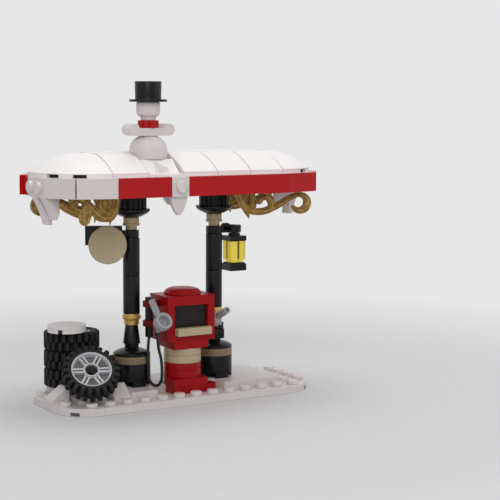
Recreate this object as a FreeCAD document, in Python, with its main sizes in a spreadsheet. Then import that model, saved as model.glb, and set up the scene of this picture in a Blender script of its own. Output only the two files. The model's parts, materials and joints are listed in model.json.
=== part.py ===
"""Building brick service station on a white base: a stack of wheels, a spare wheel between chocks,
two columns with a swinging sign and a lantern, a fuel pump, and a snowy canopy with a snowman.

Millimetres, +Z up, +X to the right and -Y to the front. The origin is under the base's centre.
"""
import FreeCAD, Part
import math
import os
import re
import Sketcher
from FreeCAD import Placement, Rotation, Vector

DRIVING = {
    "stud_pitch": 8,
    "plate_height": 3.2,
    "stud_width": 4.8,
    "stud_rise": 1.7,
    "socket_play": 0.1,
    "seam": 0.1,
    "base_depth": 48,
    "base_middle_half": 44,
    "round_width": 15.8,
    "column_spacing": 40,
    "tube_width": 7.1,
    "tube_length": 16,
    "pin_width": 4.4,
    "clip_play": 0.1,
    "pump_front": 16,
    "cabinet_width": 22.4,
    "cabinet_height": 19.2,
    "holder_reach": 15.9,
    "tyre_width": 7.7,
    "tyre_outer": 11.6,
    "rim_outer": 8,
    "wheel_spacing": 7.8,
    "canopy_half": 40,
    "roof_low": 95.5,
    "roof_rise": 9.2,
    "roof_lip": 1.7,
    "slab_low": 90.6,
    "fascia_low": 87.5,
    "fascia_plane": 28.8,
    "fascia_thick": 3.2,
    "corner_reach": 56.5,
    "corner_plane": 24.7,
    "end_plane": 64.6,
    "end_half": 12.5,
    "hose_width": 1.25,
}

doc = FreeCAD.newDocument("service_station")
sheet = doc.addObject("Spreadsheet::Sheet", "sizes")
for row, (alias, size) in enumerate(DRIVING.items(), 1):
    sheet.set("A%d" % row, alias)
    sheet.set("B%d" % row, str(size))
    sheet.setAlias("B%d" % row, alias)
doc.recompute()

nodes = []
HALF_TURN = Rotation(Vector(0, 0, 1), 180)
LYING_ALONG_X = Rotation(Vector(0, 1, 0), 90)
FACING_FRONT = Rotation(Vector(1, 0, 0), 90)


# Expressions on the sheet
def bound(text):
    """A sum in which each driving dimension's name points at its cell."""
    def cell(word):
        return "sizes." + word.group() if word.group() in DRIVING else word.group()
    return re.sub(r"[a-z]+(?:_[a-z]+)*", cell, str(text))


def number(text):
    """The present value of such a sum."""
    return float(sheet.evalExpression(bound(text)))


def place(item, x=0, y=0, z=0, turn=Rotation()):
    item.Placement = Placement(Vector(number(x), number(y), number(z)), turn)
    for axis, value in zip("xyz", (x, y, z)):
        if isinstance(value, str):
            item.setExpression("Placement.Base." + axis, bound(value))
    return item


def keep(item):
    nodes.append(item)
    return item


# Part primitives and booleans
def block(name, low, size, turn=Rotation()):
    item = doc.addObject("Part::Box", name)
    for key, value in zip(("Length", "Width", "Height"), size):
        item.setExpression(key, bound(value))
    return place(item, *low, turn=turn)


def rod(name, radius, height, foot, turn=Rotation(), sides=12):
    """A straight round with flat facets, inside its circle."""
    item = doc.addObject("Part::Prism", name)
    item.Polygon = sides
    item.setExpression("Circumradius", bound(radius))
    item.setExpression("Height", bound(height))
    return place(item, *foot, turn=turn)


def hole(name, radius, height, foot, turn=Rotation(), sides=12):
    """A round cutter whose facets touch its circle from outside, so that a round shaft turns in it."""
    return rod(name, "(%s)/cos(%g)" % (radius, 180 / sides), height, foot, turn, sides)


def fused(name, pieces):
    item = doc.addObject("Part::MultiFuse", name)
    item.Shapes = pieces
    item.Refine = True
    return item


def cut(name, base, tool):
    item = doc.addObject("Part::Cut", name)
    item.Base = base
    item.Tool = tool
    item.Refine = True
    return item


def copies(name, pieces, spots):
    """One node that holds each piece at each spot, as separate solids."""
    links = []
    for spot in spots:
        for piece in pieces:
            link = doc.addObject("App::Link", name + "_copy")
            link.LinkedObject = piece
            link.LinkTransform = True
            links.append(place(link, *spot[:3], turn=spot[3] if len(spot) > 3 else Rotation()))
    group = doc.addObject("Part::Compound", name)
    group.Links = links
    return keep(group)


def both_halves(name, pieces):
    """The canopy repeats its pieces after half a turn about the middle."""
    return copies(name, pieces, [(0, 0, 0), (0, 0, 0, HALF_TURN)])


# Bodies drawn in sketches
def new_body(name, foot=(0, 0, 0), turn=Rotation()):
    return place(doc.addObject("PartDesign::Body", name), *foot, turn=turn)


def origin_feature(body, role):
    return next(item for item in body.Origin.OriginFeatures if item.Role == role)


def new_sketch(body, plane, lift=0):
    sketch = body.newObject("Sketcher::SketchObject", body.Name + "_outline")
    sketch.AttachmentSupport = (origin_feature(body, plane), [""])
    sketch.MapMode = "FlatFace"
    sketch.AttachmentOffset = Placement(Vector(0, 0, number(lift)), Rotation())
    if isinstance(lift, str):
        sketch.setExpression("AttachmentOffset.Base.z", bound(lift))
    return sketch


def pin_point(sketch, edge, end, point):
    """Hold one end of an edge, or a circle's centre, at a place given by two sums."""
    for kind, axis, value in zip(("DistanceX", "DistanceY"), (-2, -1), point):
        if abs(number(value)) < 1e-9:
            sketch.addConstraint(Sketcher.Constraint("PointOnObject", edge, end, axis))
            continue
        index = sketch.addConstraint(Sketcher.Constraint(kind, -1, 1, edge, end, number(value)))
        sketch.setExpression("Constraints[%d]" % index, bound(value))


def outline(sketch, points, arcs=None):
    """A closed outline. arcs gives an edge's radius: positive curves it to the right, negative to the left."""
    arcs = arcs or {}
    count = len(points)
    spots = [Vector(number(x), number(y), 0) for x, y in points]
    first = sketch.GeometryCount
    starts = []
    for index, start in enumerate(spots):
        end = spots[(index + 1) % count]
        radius = arcs.get(index)
        if radius is None:
            sketch.addGeometry(Part.LineSegment(start, end))
            starts.append(1)
            continue
        chord = end - start
        left = Vector(-chord.y, chord.x, 0).normalize()
        reach = math.sqrt(radius ** 2 - chord.Length ** 2 / 4)
        centre = (start + end) / 2 + left * math.copysign(reach, radius)
        if radius < 0:
            start, end = end, start
        low, high = (math.atan2(spot.y - centre.y, spot.x - centre.x) for spot in (start, end))
        circle = Part.Circle(centre, Vector(0, 0, 1), abs(radius))
        sketch.addGeometry(Part.ArcOfCircle(circle, low, high))
        starts.append(1 if radius > 0 else 2)
    for index in range(count):
        follower = (index + 1) % count
        sketch.addConstraint(Sketcher.Constraint(
            "Coincident", first + index, 3 - starts[index], first + follower, starts[follower]))
        pin_point(sketch, first + index, starts[index], points[index])
        if index in arcs:
            sketch.addConstraint(Sketcher.Constraint("Radius", first + index, abs(arcs[index])))
    return sketch


def rectangle(x_low, x_high, y_low, y_high):
    return [(x_low, y_low), (x_high, y_low), (x_high, y_high), (x_low, y_high)]


def pad(body, sketch, length, middle=False):
    feature = body.newObject("PartDesign::Pad", body.Name + "_pad")
    feature.Profile = sketch
    feature.setExpression("Length", bound(length))
    feature.Midplane = middle
    return feature


def pocket(body, sketch):
    """Cut through the whole body, both ways."""
    feature = body.newObject("PartDesign::Pocket", body.Name + "_pocket")
    feature.Profile = sketch
    feature.Type = "ThroughAll"
    feature.Midplane = True
    return feature


def pattern(body, feature, count):
    repeat = body.newObject("PartDesign::PolarPattern", body.Name + "_pattern")
    repeat.Originals = [feature]
    repeat.Axis = (origin_feature(body, "Z_Axis"), [""])
    repeat.Angle = 360
    repeat.Occurrences = count
    body.Tip = repeat
    return repeat


def solid_from(faces):
    """The solid inside a closed set of faces, right side out."""
    solid = Part.makeSolid(Part.makeShell(faces))
    return solid.reversed() if solid.Volume < 0 else solid


def turned(name, profile, foot=(0, 0, 0), turn=Rotation(), sides=18):
    """A lathe form with flat facets: the closed outline (radius, height) goes round in equal steps."""
    corners = [(number(radius), number(height)) for radius, height in profile]
    steps = [Rotation(Vector(0, 0, 1), 360 * index / sides) for index in range(sides + 1)]
    faces = []
    for (start_r, start_z), (end_r, end_z) in zip(corners, corners[1:] + corners[:1]):
        lower = [step.multVec(Vector(start_r, 0, start_z)) for step in steps]
        upper = [step.multVec(Vector(end_r, 0, end_z)) for step in steps]
        if start_r == end_r == 0:
            continue
        if start_z == end_z:
            outer, inner = (upper, lower) if end_r > start_r else (lower, upper)
            rings = [Part.Wire(Part.makePolygon(outer))]
            if min(start_r, end_r) > 0:
                rings.append(Part.Wire(Part.makePolygon(inner[::-1])))
            faces.append(Part.Face(rings))
            continue
        for index in range(sides):
            quad = [lower[index], lower[index + 1], upper[index + 1], upper[index]]
            if start_r == 0:
                quad = quad[1:]
            if end_r == 0:
                quad = quad[:3]
            faces.append(Part.Face(Part.makePolygon(quad + quad[:1])))
    item = doc.addObject("Part::Feature", name)
    item.Shape = solid_from(faces)
    return place(item, *foot, turn=turn)


def studs(places, lift):
    """Studs on a face, at places counted in pitches."""
    return [rod("stud", "stud_width/2", "stud_rise", ("%g*stud_pitch" % x, "%g*stud_pitch" % y, lift), sides=10)
            for x, y in places]


def true_studs(places, lift):
    """Studs as true rounds, to measure the fit of another brick on."""
    rounds = []
    for x, y in places:
        stud = doc.addObject("Part::Cylinder", "true_stud")
        stud.setExpression("Radius", bound("stud_width/2"))
        stud.setExpression("Height", bound("stud_rise"))
        rounds.append(place(stud, "%g*stud_pitch" % x, "%g*stud_pitch" % y, lift))
    return rounds


def sockets(places):
    """Cutters for the sockets in an underside, which take the studs below."""
    cutters = [hole("socket", "(stud_width+socket_play)/2", "stud_rise+socket_play+1",
                    ("%g*stud_pitch" % x, "%g*stud_pitch" % y, -1)) for x, y in places]
    return fused("sockets", cutters) if len(cutters) > 1 else cutters[0]


# Base
STACK = (-44, 8)
MATING_STUDS = [(column, row) for column in (-1, 0) for row in (-2.5, 2.5)]
BASE_STUDS = [(column, row) for column in range(-5, 6) for row in (-2.5, 2.5) if column not in (-1, 0)]
BASE_STUDS += [(-5, -1.5), (-5, -0.5), (-4, -0.5), (-4, 0.5), (-4, 1.5)]
END_STUDS = [(0.5, 2.5), (0.5, 1.5), (0.5, 0.5), (1.5, 0.5), (1.5, 1.5)]
SQUARE = [(-0.5, -0.5), (0.5, -0.5), (0.5, 0.5), (-0.5, 0.5)]


def base_middle():
    body = new_body("base_middle_plate")
    edge = rectangle("-base_middle_half+seam/2", "base_middle_half-seam/2", "-base_depth/2", "base_depth/2")
    pad(body, outline(new_sketch(body, "XY_Plane"), edge), "plate_height")
    rounds = studs(BASE_STUDS, "plate_height") + true_studs(MATING_STUDS, "plate_height")
    keep(fused("base_middle", [body] + rounds))


def base_ends():
    body = new_body("base_end_plate")
    edge = [(0, "-base_depth/2"), ("2*stud_pitch", "2*stud_pitch-base_depth/2"),
            ("2*stud_pitch", "base_depth/2-2*stud_pitch"), (0, "base_depth/2")]
    corner_radius = 2 * number("stud_pitch")
    sketch = outline(new_sketch(body, "XY_Plane"), edge, {0: corner_radius, 2: corner_radius})
    pad(body, sketch, "plate_height")
    end = fused("base_end", [body] + studs(END_STUDS + [(x, -y) for x, y in END_STUDS], "plate_height"))
    notch_width = 4
    notches = []
    for side in (1, -1):
        turn = Rotation(Vector(0, 0, 1), side * 45)
        corner = Vector(0, side * 8, 0) + turn.multVec(Vector(14.6, -notch_width / 2, -0.5))
        notches.append(block("base_notch", tuple(corner), (3, notch_width, 2), turn))
    end = cut("base_end_notched", end, fused("base_notches", notches))
    copies("base_ends", [end], [("base_middle_half", 0, 0), ("-base_middle_half", 0, 0, HALF_TURN)])


def upper_plate():
    """The smooth upper layer, with a gap at the front that the pump's foot fills."""
    body = keep(new_body("upper_plate", (0, 0, "plate_height")))
    edge = [(-28, -16), (-16.1, -16), (-16.1, -7.9), (-8.1, -7.9), (-8.1, 0.1), (8.1, 0.1), (8.1, -7.9),
            (16.1, -7.9), (16.1, -16), (44, -16), (44, 16), (-28, 16)]
    pad(body, outline(new_sketch(body, "XY_Plane"), edge), "plate_height")


def stack_plate():
    body = new_body("stack_square")
    edge = rectangle("-stud_pitch", "stud_pitch", "-stud_pitch", "stud_pitch")
    pad(body, outline(new_sketch(body, "XY_Plane"), edge), "plate_height")
    plate = fused("stack_studded", [body] + studs(SQUARE, "plate_height"))
    item = keep(cut("stack_plate", plate, sockets([(-0.5, -0.5), (-0.5, 0.5)])))
    place(item, *STACK, "plate_height")


def wheel_chocks():
    body = new_body("wheel_slope")
    slope = [(0, 0), (7.7, 0), (7.7, 6.4), (6.6, 6.4), (0, 1.5)]
    pad(body, outline(new_sketch(body, "XZ_Plane"), slope), 7.6, middle=True)
    chock = cut("wheel_chock", body, sockets([(0.5, 0)]))
    copies("wheel_chocks", [chock], [(-60, -4, "plate_height"),
                                     (-32, -16, "plate_height", Rotation(Vector(0, 0, 1), 90))])


# Columns
def on_columns(name, piece, low):
    copies(name, [piece], [("-column_spacing/2", 0, low), ("column_spacing/2", 0, low)])


def column_drums():
    """Round drums that stand on four feet."""
    drum = rod("drum_round", "round_width/2", 9.6, (0, 0, 0), sides=20)
    half_foot = 2.95
    gaps = [block("drum_gap", (x, y, -1), (8, 8, 3.1)) for x in (half_foot, -half_foot - 8)
            for y in (half_foot, -half_foot - 8)]
    on_columns("column_drums", cut("column_drum", drum, fused("drum_gaps", gaps)), 6.4)


def column_stack():
    """The turned pieces of each column, from the ring up to the upside-down dish."""
    rim = "round_width/2"
    on_columns("column_rings", turned("column_ring", [(0, 0), (rim, 0), (rim, 3.2), (0, 3.2)]), 16)
    dish = [(0, 0), (rim, 0), (rim, 1.1), (3.3, 2.1), (2.9, 3.2), (0, 3.2)]
    on_columns("column_dishes", turned("column_dish", dish), 19.2)
    cone = [(0, 0), (2.95, 0), (2.95, 1), (3.65, 2.7), (2.55, 9.6), (0, 9.6)]
    on_columns("column_cones", turned("column_cone", cone, sides=16), 22.4)
    collar = [(0, 0), (3.1, 0), (3.2, 2.4), (3.9, 2.8), (3.9, 4), (3.4, 4.3), (3.4, 4.8), (0, 4.8)]
    on_columns("column_collars", turned("column_collar", collar, sides=14), 32)
    piece = rod("column_tube", "tube_width/2", "tube_length", (0, 0, 0), sides=16)
    levels = (36.8, "36.8+tube_length")
    sides = ("-column_spacing/2", "column_spacing/2")
    copies("column_tubes", [piece], [(x, 0, low) for x in sides for low in levels])
    on_columns("column_pins", rod("column_pin", "pin_width/2", 3.4, (0, 0, 0)), 68.8)
    bush = [(0, 0), (2.25, 0), (2.25, 1.8), (3.7, 1.8), (3.7, 3), (2.9, 3), (2.9, 5.2), (0, 5.2)]
    on_columns("column_bushes", turned("column_bush", bush, sides=14), 72.2)
    head = [(0, 0), (2.9, 0), (5.4, 1.1), (7.3, 2), (rim, 2.9), (rim, 3.6), (0, 3.6)]
    on_columns("column_head_dishes", turned("column_head_dish", head), 77.4)


def column_capitals():
    """Capitals with upright flutes."""
    body = new_body("column_capital")
    flute_count = 18
    edge = [tuple(Rotation(Vector(0, 0, 1), 360 / flute_count * index).multVec(Vector(6.5, 0, 0)))[:2]
            for index in range(flute_count)]
    pad(body, outline(new_sketch(body, "XY_Plane"), edge), 9.6)
    flute = outline(new_sketch(body, "XY_Plane"), rectangle(5.8, 7, -0.5, 0.5))
    pattern(body, pocket(body, flute), flute_count)
    on_columns("column_capitals", body, 81)


# Pump, centred on a line through this point
PUMP_Y = -8


def pump_foot():
    """A low brick with a half-round piece on its right, and the round brick that backs it under the drum."""
    front = block("pump_foot", ("-stud_pitch", "-pump_front", "plate_height"),
                  ("2*stud_pitch", "stud_pitch-seam", 6.4))
    back = rod("pump_back_round", "round_width/2", "plate_height-0.02", (0, PUMP_Y, 6.4), sides=20)
    behind = cut("pump_back_half", back, block("pump_back_cut", (-9, -17, 6), (18, 9, 4)))
    rounded = rod("pump_side_round", "stud_pitch/2-seam/2", "plate_height", (0, 0, 0), sides=16)
    half = block("pump_side_half", (-5, -5, -1), (5, 10, 6))
    side = place(cut("pump_side", rounded, half), 8.05, -12, "plate_height")
    group = keep(doc.addObject("Part::Compound", "pump_base"))
    group.Links = [front, behind, side]


def pump_rounds():
    """The drum and the two neck rings between the foot and the cabinet."""
    plate = rod("pump_round", "round_width/2", "plate_height-0.02", (0, 0, 0), sides=20)
    copies("pump_drum", [plate], [(0, PUMP_Y, 9.6), (0, PUMP_Y, 12.8)])
    copies("pump_neck_rings", [plate], [(0, PUMP_Y, 16), (0, PUMP_Y, 19.2)])


def pump_cabinet():
    keep(block("pump_underpart", ("-stud_pitch", "-pump_front", 22.4), ("2*stud_pitch", "pump_front", 3.2)))
    shell = block("cabinet_block", ("-cabinet_width/2", "-pump_front", 25.6),
                  ("cabinet_width", "pump_front", "cabinet_height"))
    window_low = 31.2
    window_height = 9.6
    recess = 3
    window = block("cabinet_window", (-8, "-pump_front-1", window_low), (16, recess + 1, window_height))
    keep(cut("pump_cabinet", shell, window))
    keep(block("pump_window", (-7.95, -14.5, window_low + 0.05), (15.9, 1.5, window_height - 0.1)))
    keep(block("pump_shelf", (-7.8, -19, 28.4), (16, 3, 3.2)))
    rim = "round_width/2"
    dome = [(0, 0), (rim, 0), (rim, 0.9), (7.2, 1.2), (7, 2.2), (6.1, 3), (0, 3.6)]
    keep(turned("pump_dome", dome, (0, PUMP_Y, 44.8)))


def hose_holders():
    """A long bar on the left for the hose and a short bracket on the right for the other nozzle."""
    bar = rod("holder_bar", 1.6, 16.8, ("-holder_reach", PUMP_Y, 27.6))
    post = rod("bracket_post", 1.35, 4.15, (18.9, -8.3, 24.2))
    arm = block("bracket_arm", ("cabinet_width/2", -9.6, 25.9), (7.7, 2.6, 2.4))
    group = keep(doc.addObject("Part::Compound", "hose_holders"))
    group.Links = [bar, fused("bracket", [post, arm])]


def holder_clips():
    """Two clips that carry the long bar beside the cabinet."""
    ring = rod("clip_ring", 2.6, 2.6, ("-holder_reach", PUMP_Y, 0))
    root = block("clip_root", (-14, PUMP_Y - 1.3, 0), (2.8, 2.6, 2.6))
    bore = rod("clip_bore", 1.6, 4, ("-holder_reach", PUMP_Y, -1))
    clip = cut("holder_clip", fused("clip_solid", [ring, root]), bore)
    copies("holder_clips", [clip], [(0, 0, 32.1), (0, 0, 40.3)])


# Hose and nozzles
HOSE_ROUTE = [(-15.9, -8, 27.6), (-16.5, -7.9, 22), (-16.4, -8, 16.2), (-16.2, -8, 9.85), (-15.6, -10.4, 7.4),
              (-14.8, -13.7, 7.4), (-14.2, -16.1, 9.85), (-14.2, -16.4, 14), (-14.8, -17, 19.4),
              (-16.4, -17.1, 24.2), (-16.6, -16.9, 29.15)]


def left_hose():
    """A thin hose that hangs in a loop: straight runs joined by tangent arcs."""
    points = [Vector(*point) for point in HOSE_ROUTE]
    edges = []
    radii = []
    last = points[0]
    for before, here, after in zip(points, points[1:], points[2:]):
        arriving = (here - before).normalize()
        leaving = (after - here).normalize()
        turn = arriving.getAngle(leaving)
        trim = 0.45 * min((here - before).Length, (after - here).Length)
        radii.append(trim / math.tan(turn / 2))
        start = here - arriving * trim
        end = here + leaving * trim
        inward = (leaving - arriving).normalize()
        sagitta = radii[-1] * (1 / math.cos(turn / 2) - 1)
        edges.append(Part.LineSegment(last, start).toShape())
        edges.append(Part.Arc(start, here + inward * sagitta, end).toShape())
        last = end
    edges.append(Part.LineSegment(last, points[-1]).toShape())
    path = Part.Wire(edges)
    radius = number("hose_width/2")
    across = Rotation(Vector(0, 0, 1), points[1] - points[0])
    corners = [points[0] + across.multVec(Rotation(Vector(0, 0, 1), 60 * index).multVec(Vector(radius, 0, 0)))
               for index in range(7)]
    section = Part.Wire(Part.makePolygon(corners))
    hose = keep(doc.addObject("Part::Feature", "left_hose"))
    hose.Shape = path.makePipeShell([section], True, True)
    hose.Placement = Placement()
    print("hose bend radii", [round(value, 2) for value in radii])
    print("hose volume against section times length",
          round(hose.Shape.Volume / (Part.Face(section).Area * path.Length), 4))


def nozzle(name, heel, bell_rise, handle, mouth):
    """A nozzle with a hollow-ended handle, a flared bell and a stub for its hose below the heel."""
    length = 12
    bell_foot = Vector(*heel) + Vector(*bell_rise)
    mouth = Vector(*mouth).normalize()
    handle = Vector(*handle).normalize()
    upright = Rotation(Vector(0, 0, 1), handle)
    facing = Rotation(Vector(0, 0, 1), mouth)
    grip_foot = bell_foot + mouth * 2.4
    grip = rod(name + "_grip", 1.45, length, tuple(grip_foot), upright)
    bore = rod(name + "_bore", 0.75, 3, tuple(grip_foot + handle * (length - 2.9)), upright, sides=8)
    bell = [(0, 0), (2.3, 0), (3.2, 1.1), (3.6, 2.6), (3.6, 5.6), (2.7, 5.6), (2.3, 5), (2.3, 3), (0, 3)]
    cup = turned(name + "_bell", bell, tuple(bell_foot), facing, sides=16)
    neck = Vector(*bell_rise) + mouth * 1.5
    stub = rod(name + "_stub", 1, neck.Length + 1, heel, Rotation(Vector(0, 0, 1), neck), sides=8)
    foot = rod(name + "_foot", 1, 1.8, (heel[0], heel[1], heel[2] - 1.8), sides=8)
    mouth_bore = rod(name + "_mouth", 2.3, 3.4, tuple(bell_foot + mouth * 3), facing, sides=16)
    solid = cut(name + "_solid", fused(name + "_whole", [grip, cup, stub, foot]), mouth_bore)
    return keep(cut(name, solid, bore))


# Canopy
def canopy_slab():
    body = keep(new_body("canopy_plate", (0, 0, "slab_low")))
    quarter = [(39.6, 25.55), (54.4, 21.85), (61.35, 11.5)]
    right = [(x, -y) for x, y in quarter] + [(x, y) for x, y in reversed(quarter)]
    edge = right + [(-x, -y) for x, y in right]
    pad(body, outline(new_sketch(body, "XY_Plane"), edge), "roof_low-slab_low")


def facet(name, corners):
    """A fascia tile on edge, with its ends cut so that it meets its neighbours inside."""
    body = new_body(name, (0, 0, "fascia_low"))
    pad(body, outline(new_sketch(body, "XY_Plane"), corners), "roof_low-fascia_low")
    return body


def corner_facets(name, side):
    """The two slanting tiles at the front corner of one side."""
    slant = [("%d*(canopy_half+0.05)" % side, "-fascia_plane"), ("%d*(corner_reach-0.35)" % side, "-corner_plane-0.1"),
             (side * 54.4, -21.9), (side * 40.05, -25.6)]
    end = [("%d*(corner_reach+0.2)" % side, "-corner_plane+0.35"), ("%d*end_plane" % side, "-end_half-0.05"),
           (side * 60.7, "-end_half-0.05"), (side * 54.5, -21.85)]
    if side < 0:
        slant.reverse()
        end.reverse()
    return [facet(name + "_slant", slant), facet(name + "_end", end)]


def fascia():
    tall = "roof_low-fascia_low"
    white = corner_facets("white_facet", -1)
    both_halves("fascia_white", white)
    short = block("fascia_short", (-40, "-fascia_plane", "fascia_low"), (23.95, "fascia_thick", tall))
    long = block("fascia_long", (-7.95, "-fascia_plane", "fascia_low"), (47.95, "fascia_thick", tall))
    end = block("fascia_end", ("-end_plane+fascia_thick/2", 3.75, "fascia_low"), ("fascia_thick/2", 8.7, tall))
    both_halves("fascia_red", [short, long, end] + corner_facets("red_facet", 1))


def tooth_plate():
    """A plate on edge with a stud on its face and a pointed icicle below."""
    plate = block("tooth_square", (-15.95, "-fascia_plane", "fascia_low"),
                  (7.9, "fascia_thick", "roof_low-fascia_low"))
    stud = rod("tooth_stud", "stud_width/2", "stud_rise", (-12, "-fascia_plane", 91.5), FACING_FRONT)
    body = new_body("tooth_point", (-12, "-fascia_plane+fascia_thick/2", "fascia_low"))
    point = [(3.6, 0), (-3.6, 0), (-0.9, -7.6), (-0.3, -7.6)]
    pad(body, outline(new_sketch(body, "XZ_Plane"), point, {1: 14, 3: 14}), "fascia_thick", middle=True)
    both_halves("fascia_tooth", [fused("tooth_whole", [plate, stud, body])])


def end_claws():
    """Two plates on edge at each end, each with a stud outwards and a claw that curls in under the roof."""
    long_tip = [(-58.3, 76), (-61.4, 76)]
    short_tip = [(-58.9, 78.6), (-60.2, 78.6)]
    claws = []
    kinds = (("long", -4.25, -4.2, 5.4, long_tip), ("short", -12.35, -12.3, 4.6, short_tip))
    for name, low, near, width, tip in kinds:
        plate = block(name + "_plate", ("-end_plane", low, "fascia_low"),
                      ("fascia_thick", 7.95, "roof_low-fascia_low"))
        stud = rod(name + "_stud", "stud_width/2", "stud_rise", ("-end_plane-stud_rise", low + 3.97, 91.5),
                   LYING_ALONG_X)
        claw = new_body(name + "_point", (0, near + width / 2, 0))
        shape = [(-64.6, 87.6), (-61.4, 87.6), (-61.4, 90.5), (-57.8, 90.5), (-57.8, 81.5)] + tip
        pad(claw, outline(new_sketch(claw, "XZ_Plane"), shape, {len(shape) - 1: 24}), width, middle=True)
        claws.append(fused(name + "_claw", [plate, stud, claw]))
    both_halves("end_claws", claws)


ROOF_ARC = 60


def roof_slopes():
    """Curved slopes, each sixteen long, on both sides of the ridge."""
    body = new_body("roof_slope", (0, 0, "roof_low"))
    profile = [(-8.05, 0), (-8.05, "roof_rise"), (-24, "roof_lip"), (-24, 0)]
    sketch = outline(new_sketch(body, "YZ_Plane"), profile, {1: ROOF_ARC})
    pad(body, sketch, "2*stud_pitch-seam", middle=True)
    front = [(x, 0, 0) for x in (-32, 0, 16, 32)]
    back = [(x, 0, 0, HALF_TURN) for x in (-32, -16, 0, 16, 32)]
    copies("roof_slopes", [body], front + back)


def roof_ridge():
    tile = block("ridge_tile", (-7.95, -8, "roof_low"), ("2*stud_pitch-seam", 16, "roof_rise"))
    copies("roof_ridge", [tile], [(x, 0, 0) for x in (-32, 0, 16, 32)])


def roof_ends():
    """Half-round ends that carry the roof's curve round, with notches in the lip."""
    low, high = Vector(23.95, number("roof_lip"), 0), Vector(8, number("roof_rise"), 0)
    chord = high - low
    drop = math.sqrt(ROOF_ARC ** 2 - chord.Length ** 2 / 4)
    centre = (low + high) / 2 + Vector(-chord.y, chord.x, 0).normalize() * drop
    bulge = (low + high) / 2 - centre
    crown = centre + bulge.normalize() * ROOF_ARC
    profile = [(0, 0), (low.x, 0), (low.x, low.y), (crown.x, crown.y), (high.x, high.y), (0, high.y)]
    dome = turned("roof_dome", profile, (0, 0, "roof_low"), sides=32)
    half = block("roof_half", (-25, -25, 90), (25.05, 50, 20))
    notches = []
    for middle in (-58, -30.25, 30.25, 58):
        turn = Rotation(Vector(0, 0, 1), middle)
        notches.append(block("lip_notch", tuple(turn.multVec(Vector(22.3, -2.6, 0)) + Vector(0, 0, 94)),
                             (3, 5.2, 2.9), turn))
    end = cut("roof_end", dome, fused("roof_end_cuts", [half] + notches))
    copies("roof_ends", [end], [("canopy_half", 0, 0), ("-canopy_half", 0, 0, HALF_TURN)])


def snow_mound():
    """Packed snow under the snowman: a level top and an uneven front made of three slanting facets."""
    top = 102.1 - number("roof_low")
    lip = 1
    level = block("mound_top", (-23.95, -14.5, "roof_low"), (15.9, 22.45, top))
    foot = block("mound_lip", (-23.95, -24, "roof_low"), (15.9, 9.5, lip))
    facets = []
    ridges = ((-23.95, -19.5, -23.95, -20.3, 3.2), (-19.5, -13.2, -18.3, -14.2, 0.6),
              (-13.2, -8.05, -12.1, -8.05, 4.6))
    for low, high, crest_low, crest_high, crest in ridges:
        wedge = doc.addObject("Part::Wedge", "mound_facet")
        wedge.Xmin, wedge.Xmax, wedge.X2min, wedge.X2max = low, high, crest_low, crest_high
        wedge.Ymin, wedge.Ymax = 0, top - lip
        wedge.Zmin, wedge.Zmax, wedge.Z2min, wedge.Z2max = 0, 9.5, 0, crest
        facets.append(place(wedge, 0, -14.5, "roof_low+%g" % lip, turn=FACING_FRONT))
    keep(fused("snow_mound", [level, foot] + facets))


SCROLL_STEP = 24


# Gold scrolls: arcs in an upright plane, given as points (across, up)
def polyline(stretch):
    """The corners along a two-point line, or along a three-point arc in even steps of turn."""
    spots = [Vector(x, 0, z) for x, z in stretch]
    if len(spots) == 2:
        return spots
    arc = Part.Arc(*spots)
    steps = max(2, round(math.degrees(arc.LastParameter - arc.FirstParameter) / SCROLL_STEP))
    return arc.toShape().discretize(steps + 1)


def ribbon(path, width):
    """A flat band along a chain of lines and arcs, with mitred corners."""
    corners = polyline(path[0])
    for stretch in path[1:]:
        corners += polyline(stretch)[1:]
    runs = [(end - start).normalize() for start, end in zip(corners, corners[1:])]
    left, right = [], []
    for here, before, after in zip(corners, runs[:1] + runs, runs + runs[-1:]):
        along = (before + after).normalize()
        side = Vector(-along.z, 0, along.x) * (width / 2 / along.dot(before))
        left.append(here + side)
        right.append(here - side)
    loop = left + right[::-1]
    return Part.Face(Part.makePolygon(loop + loop[:1]))


def leaf(points):
    """A pointed leaf between two arcs from its root to its tip."""
    root, left, tip, right = (Vector(x, 0, z) for x, z in points)
    return Part.Face(Part.makePolygon(Part.Arc(root, left, tip).toShape().discretize(6)[:-1]
                                      + Part.Arc(tip, right, root).toShape().discretize(6)))


def ball(x, z, radius):
    rim = Part.Circle(Vector(x, 0, z), Vector(0, 1, 0), radius).toShape().discretize(13)
    return Part.Face(Part.makePolygon(rim[:-1] + rim[:1]))


def strip(x_low, x_high, z_low, z_high):
    corners = [Vector(x, 0, z) for x, z in rectangle(x_low, x_high, z_low, z_high)]
    return Part.Face(Part.makePolygon(corners + corners[:1]))


def scroll(name, plane, faces):
    thick = 2.4
    solids = [face.extrude(Vector(0, thick, 0)) for face in faces]
    piece = doc.addObject("Part::Feature", name)
    piece.Shape = solids[0].multiFuse(solids[1:]).removeSplitter()
    return place(piece, 0, plane, 0)


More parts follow.
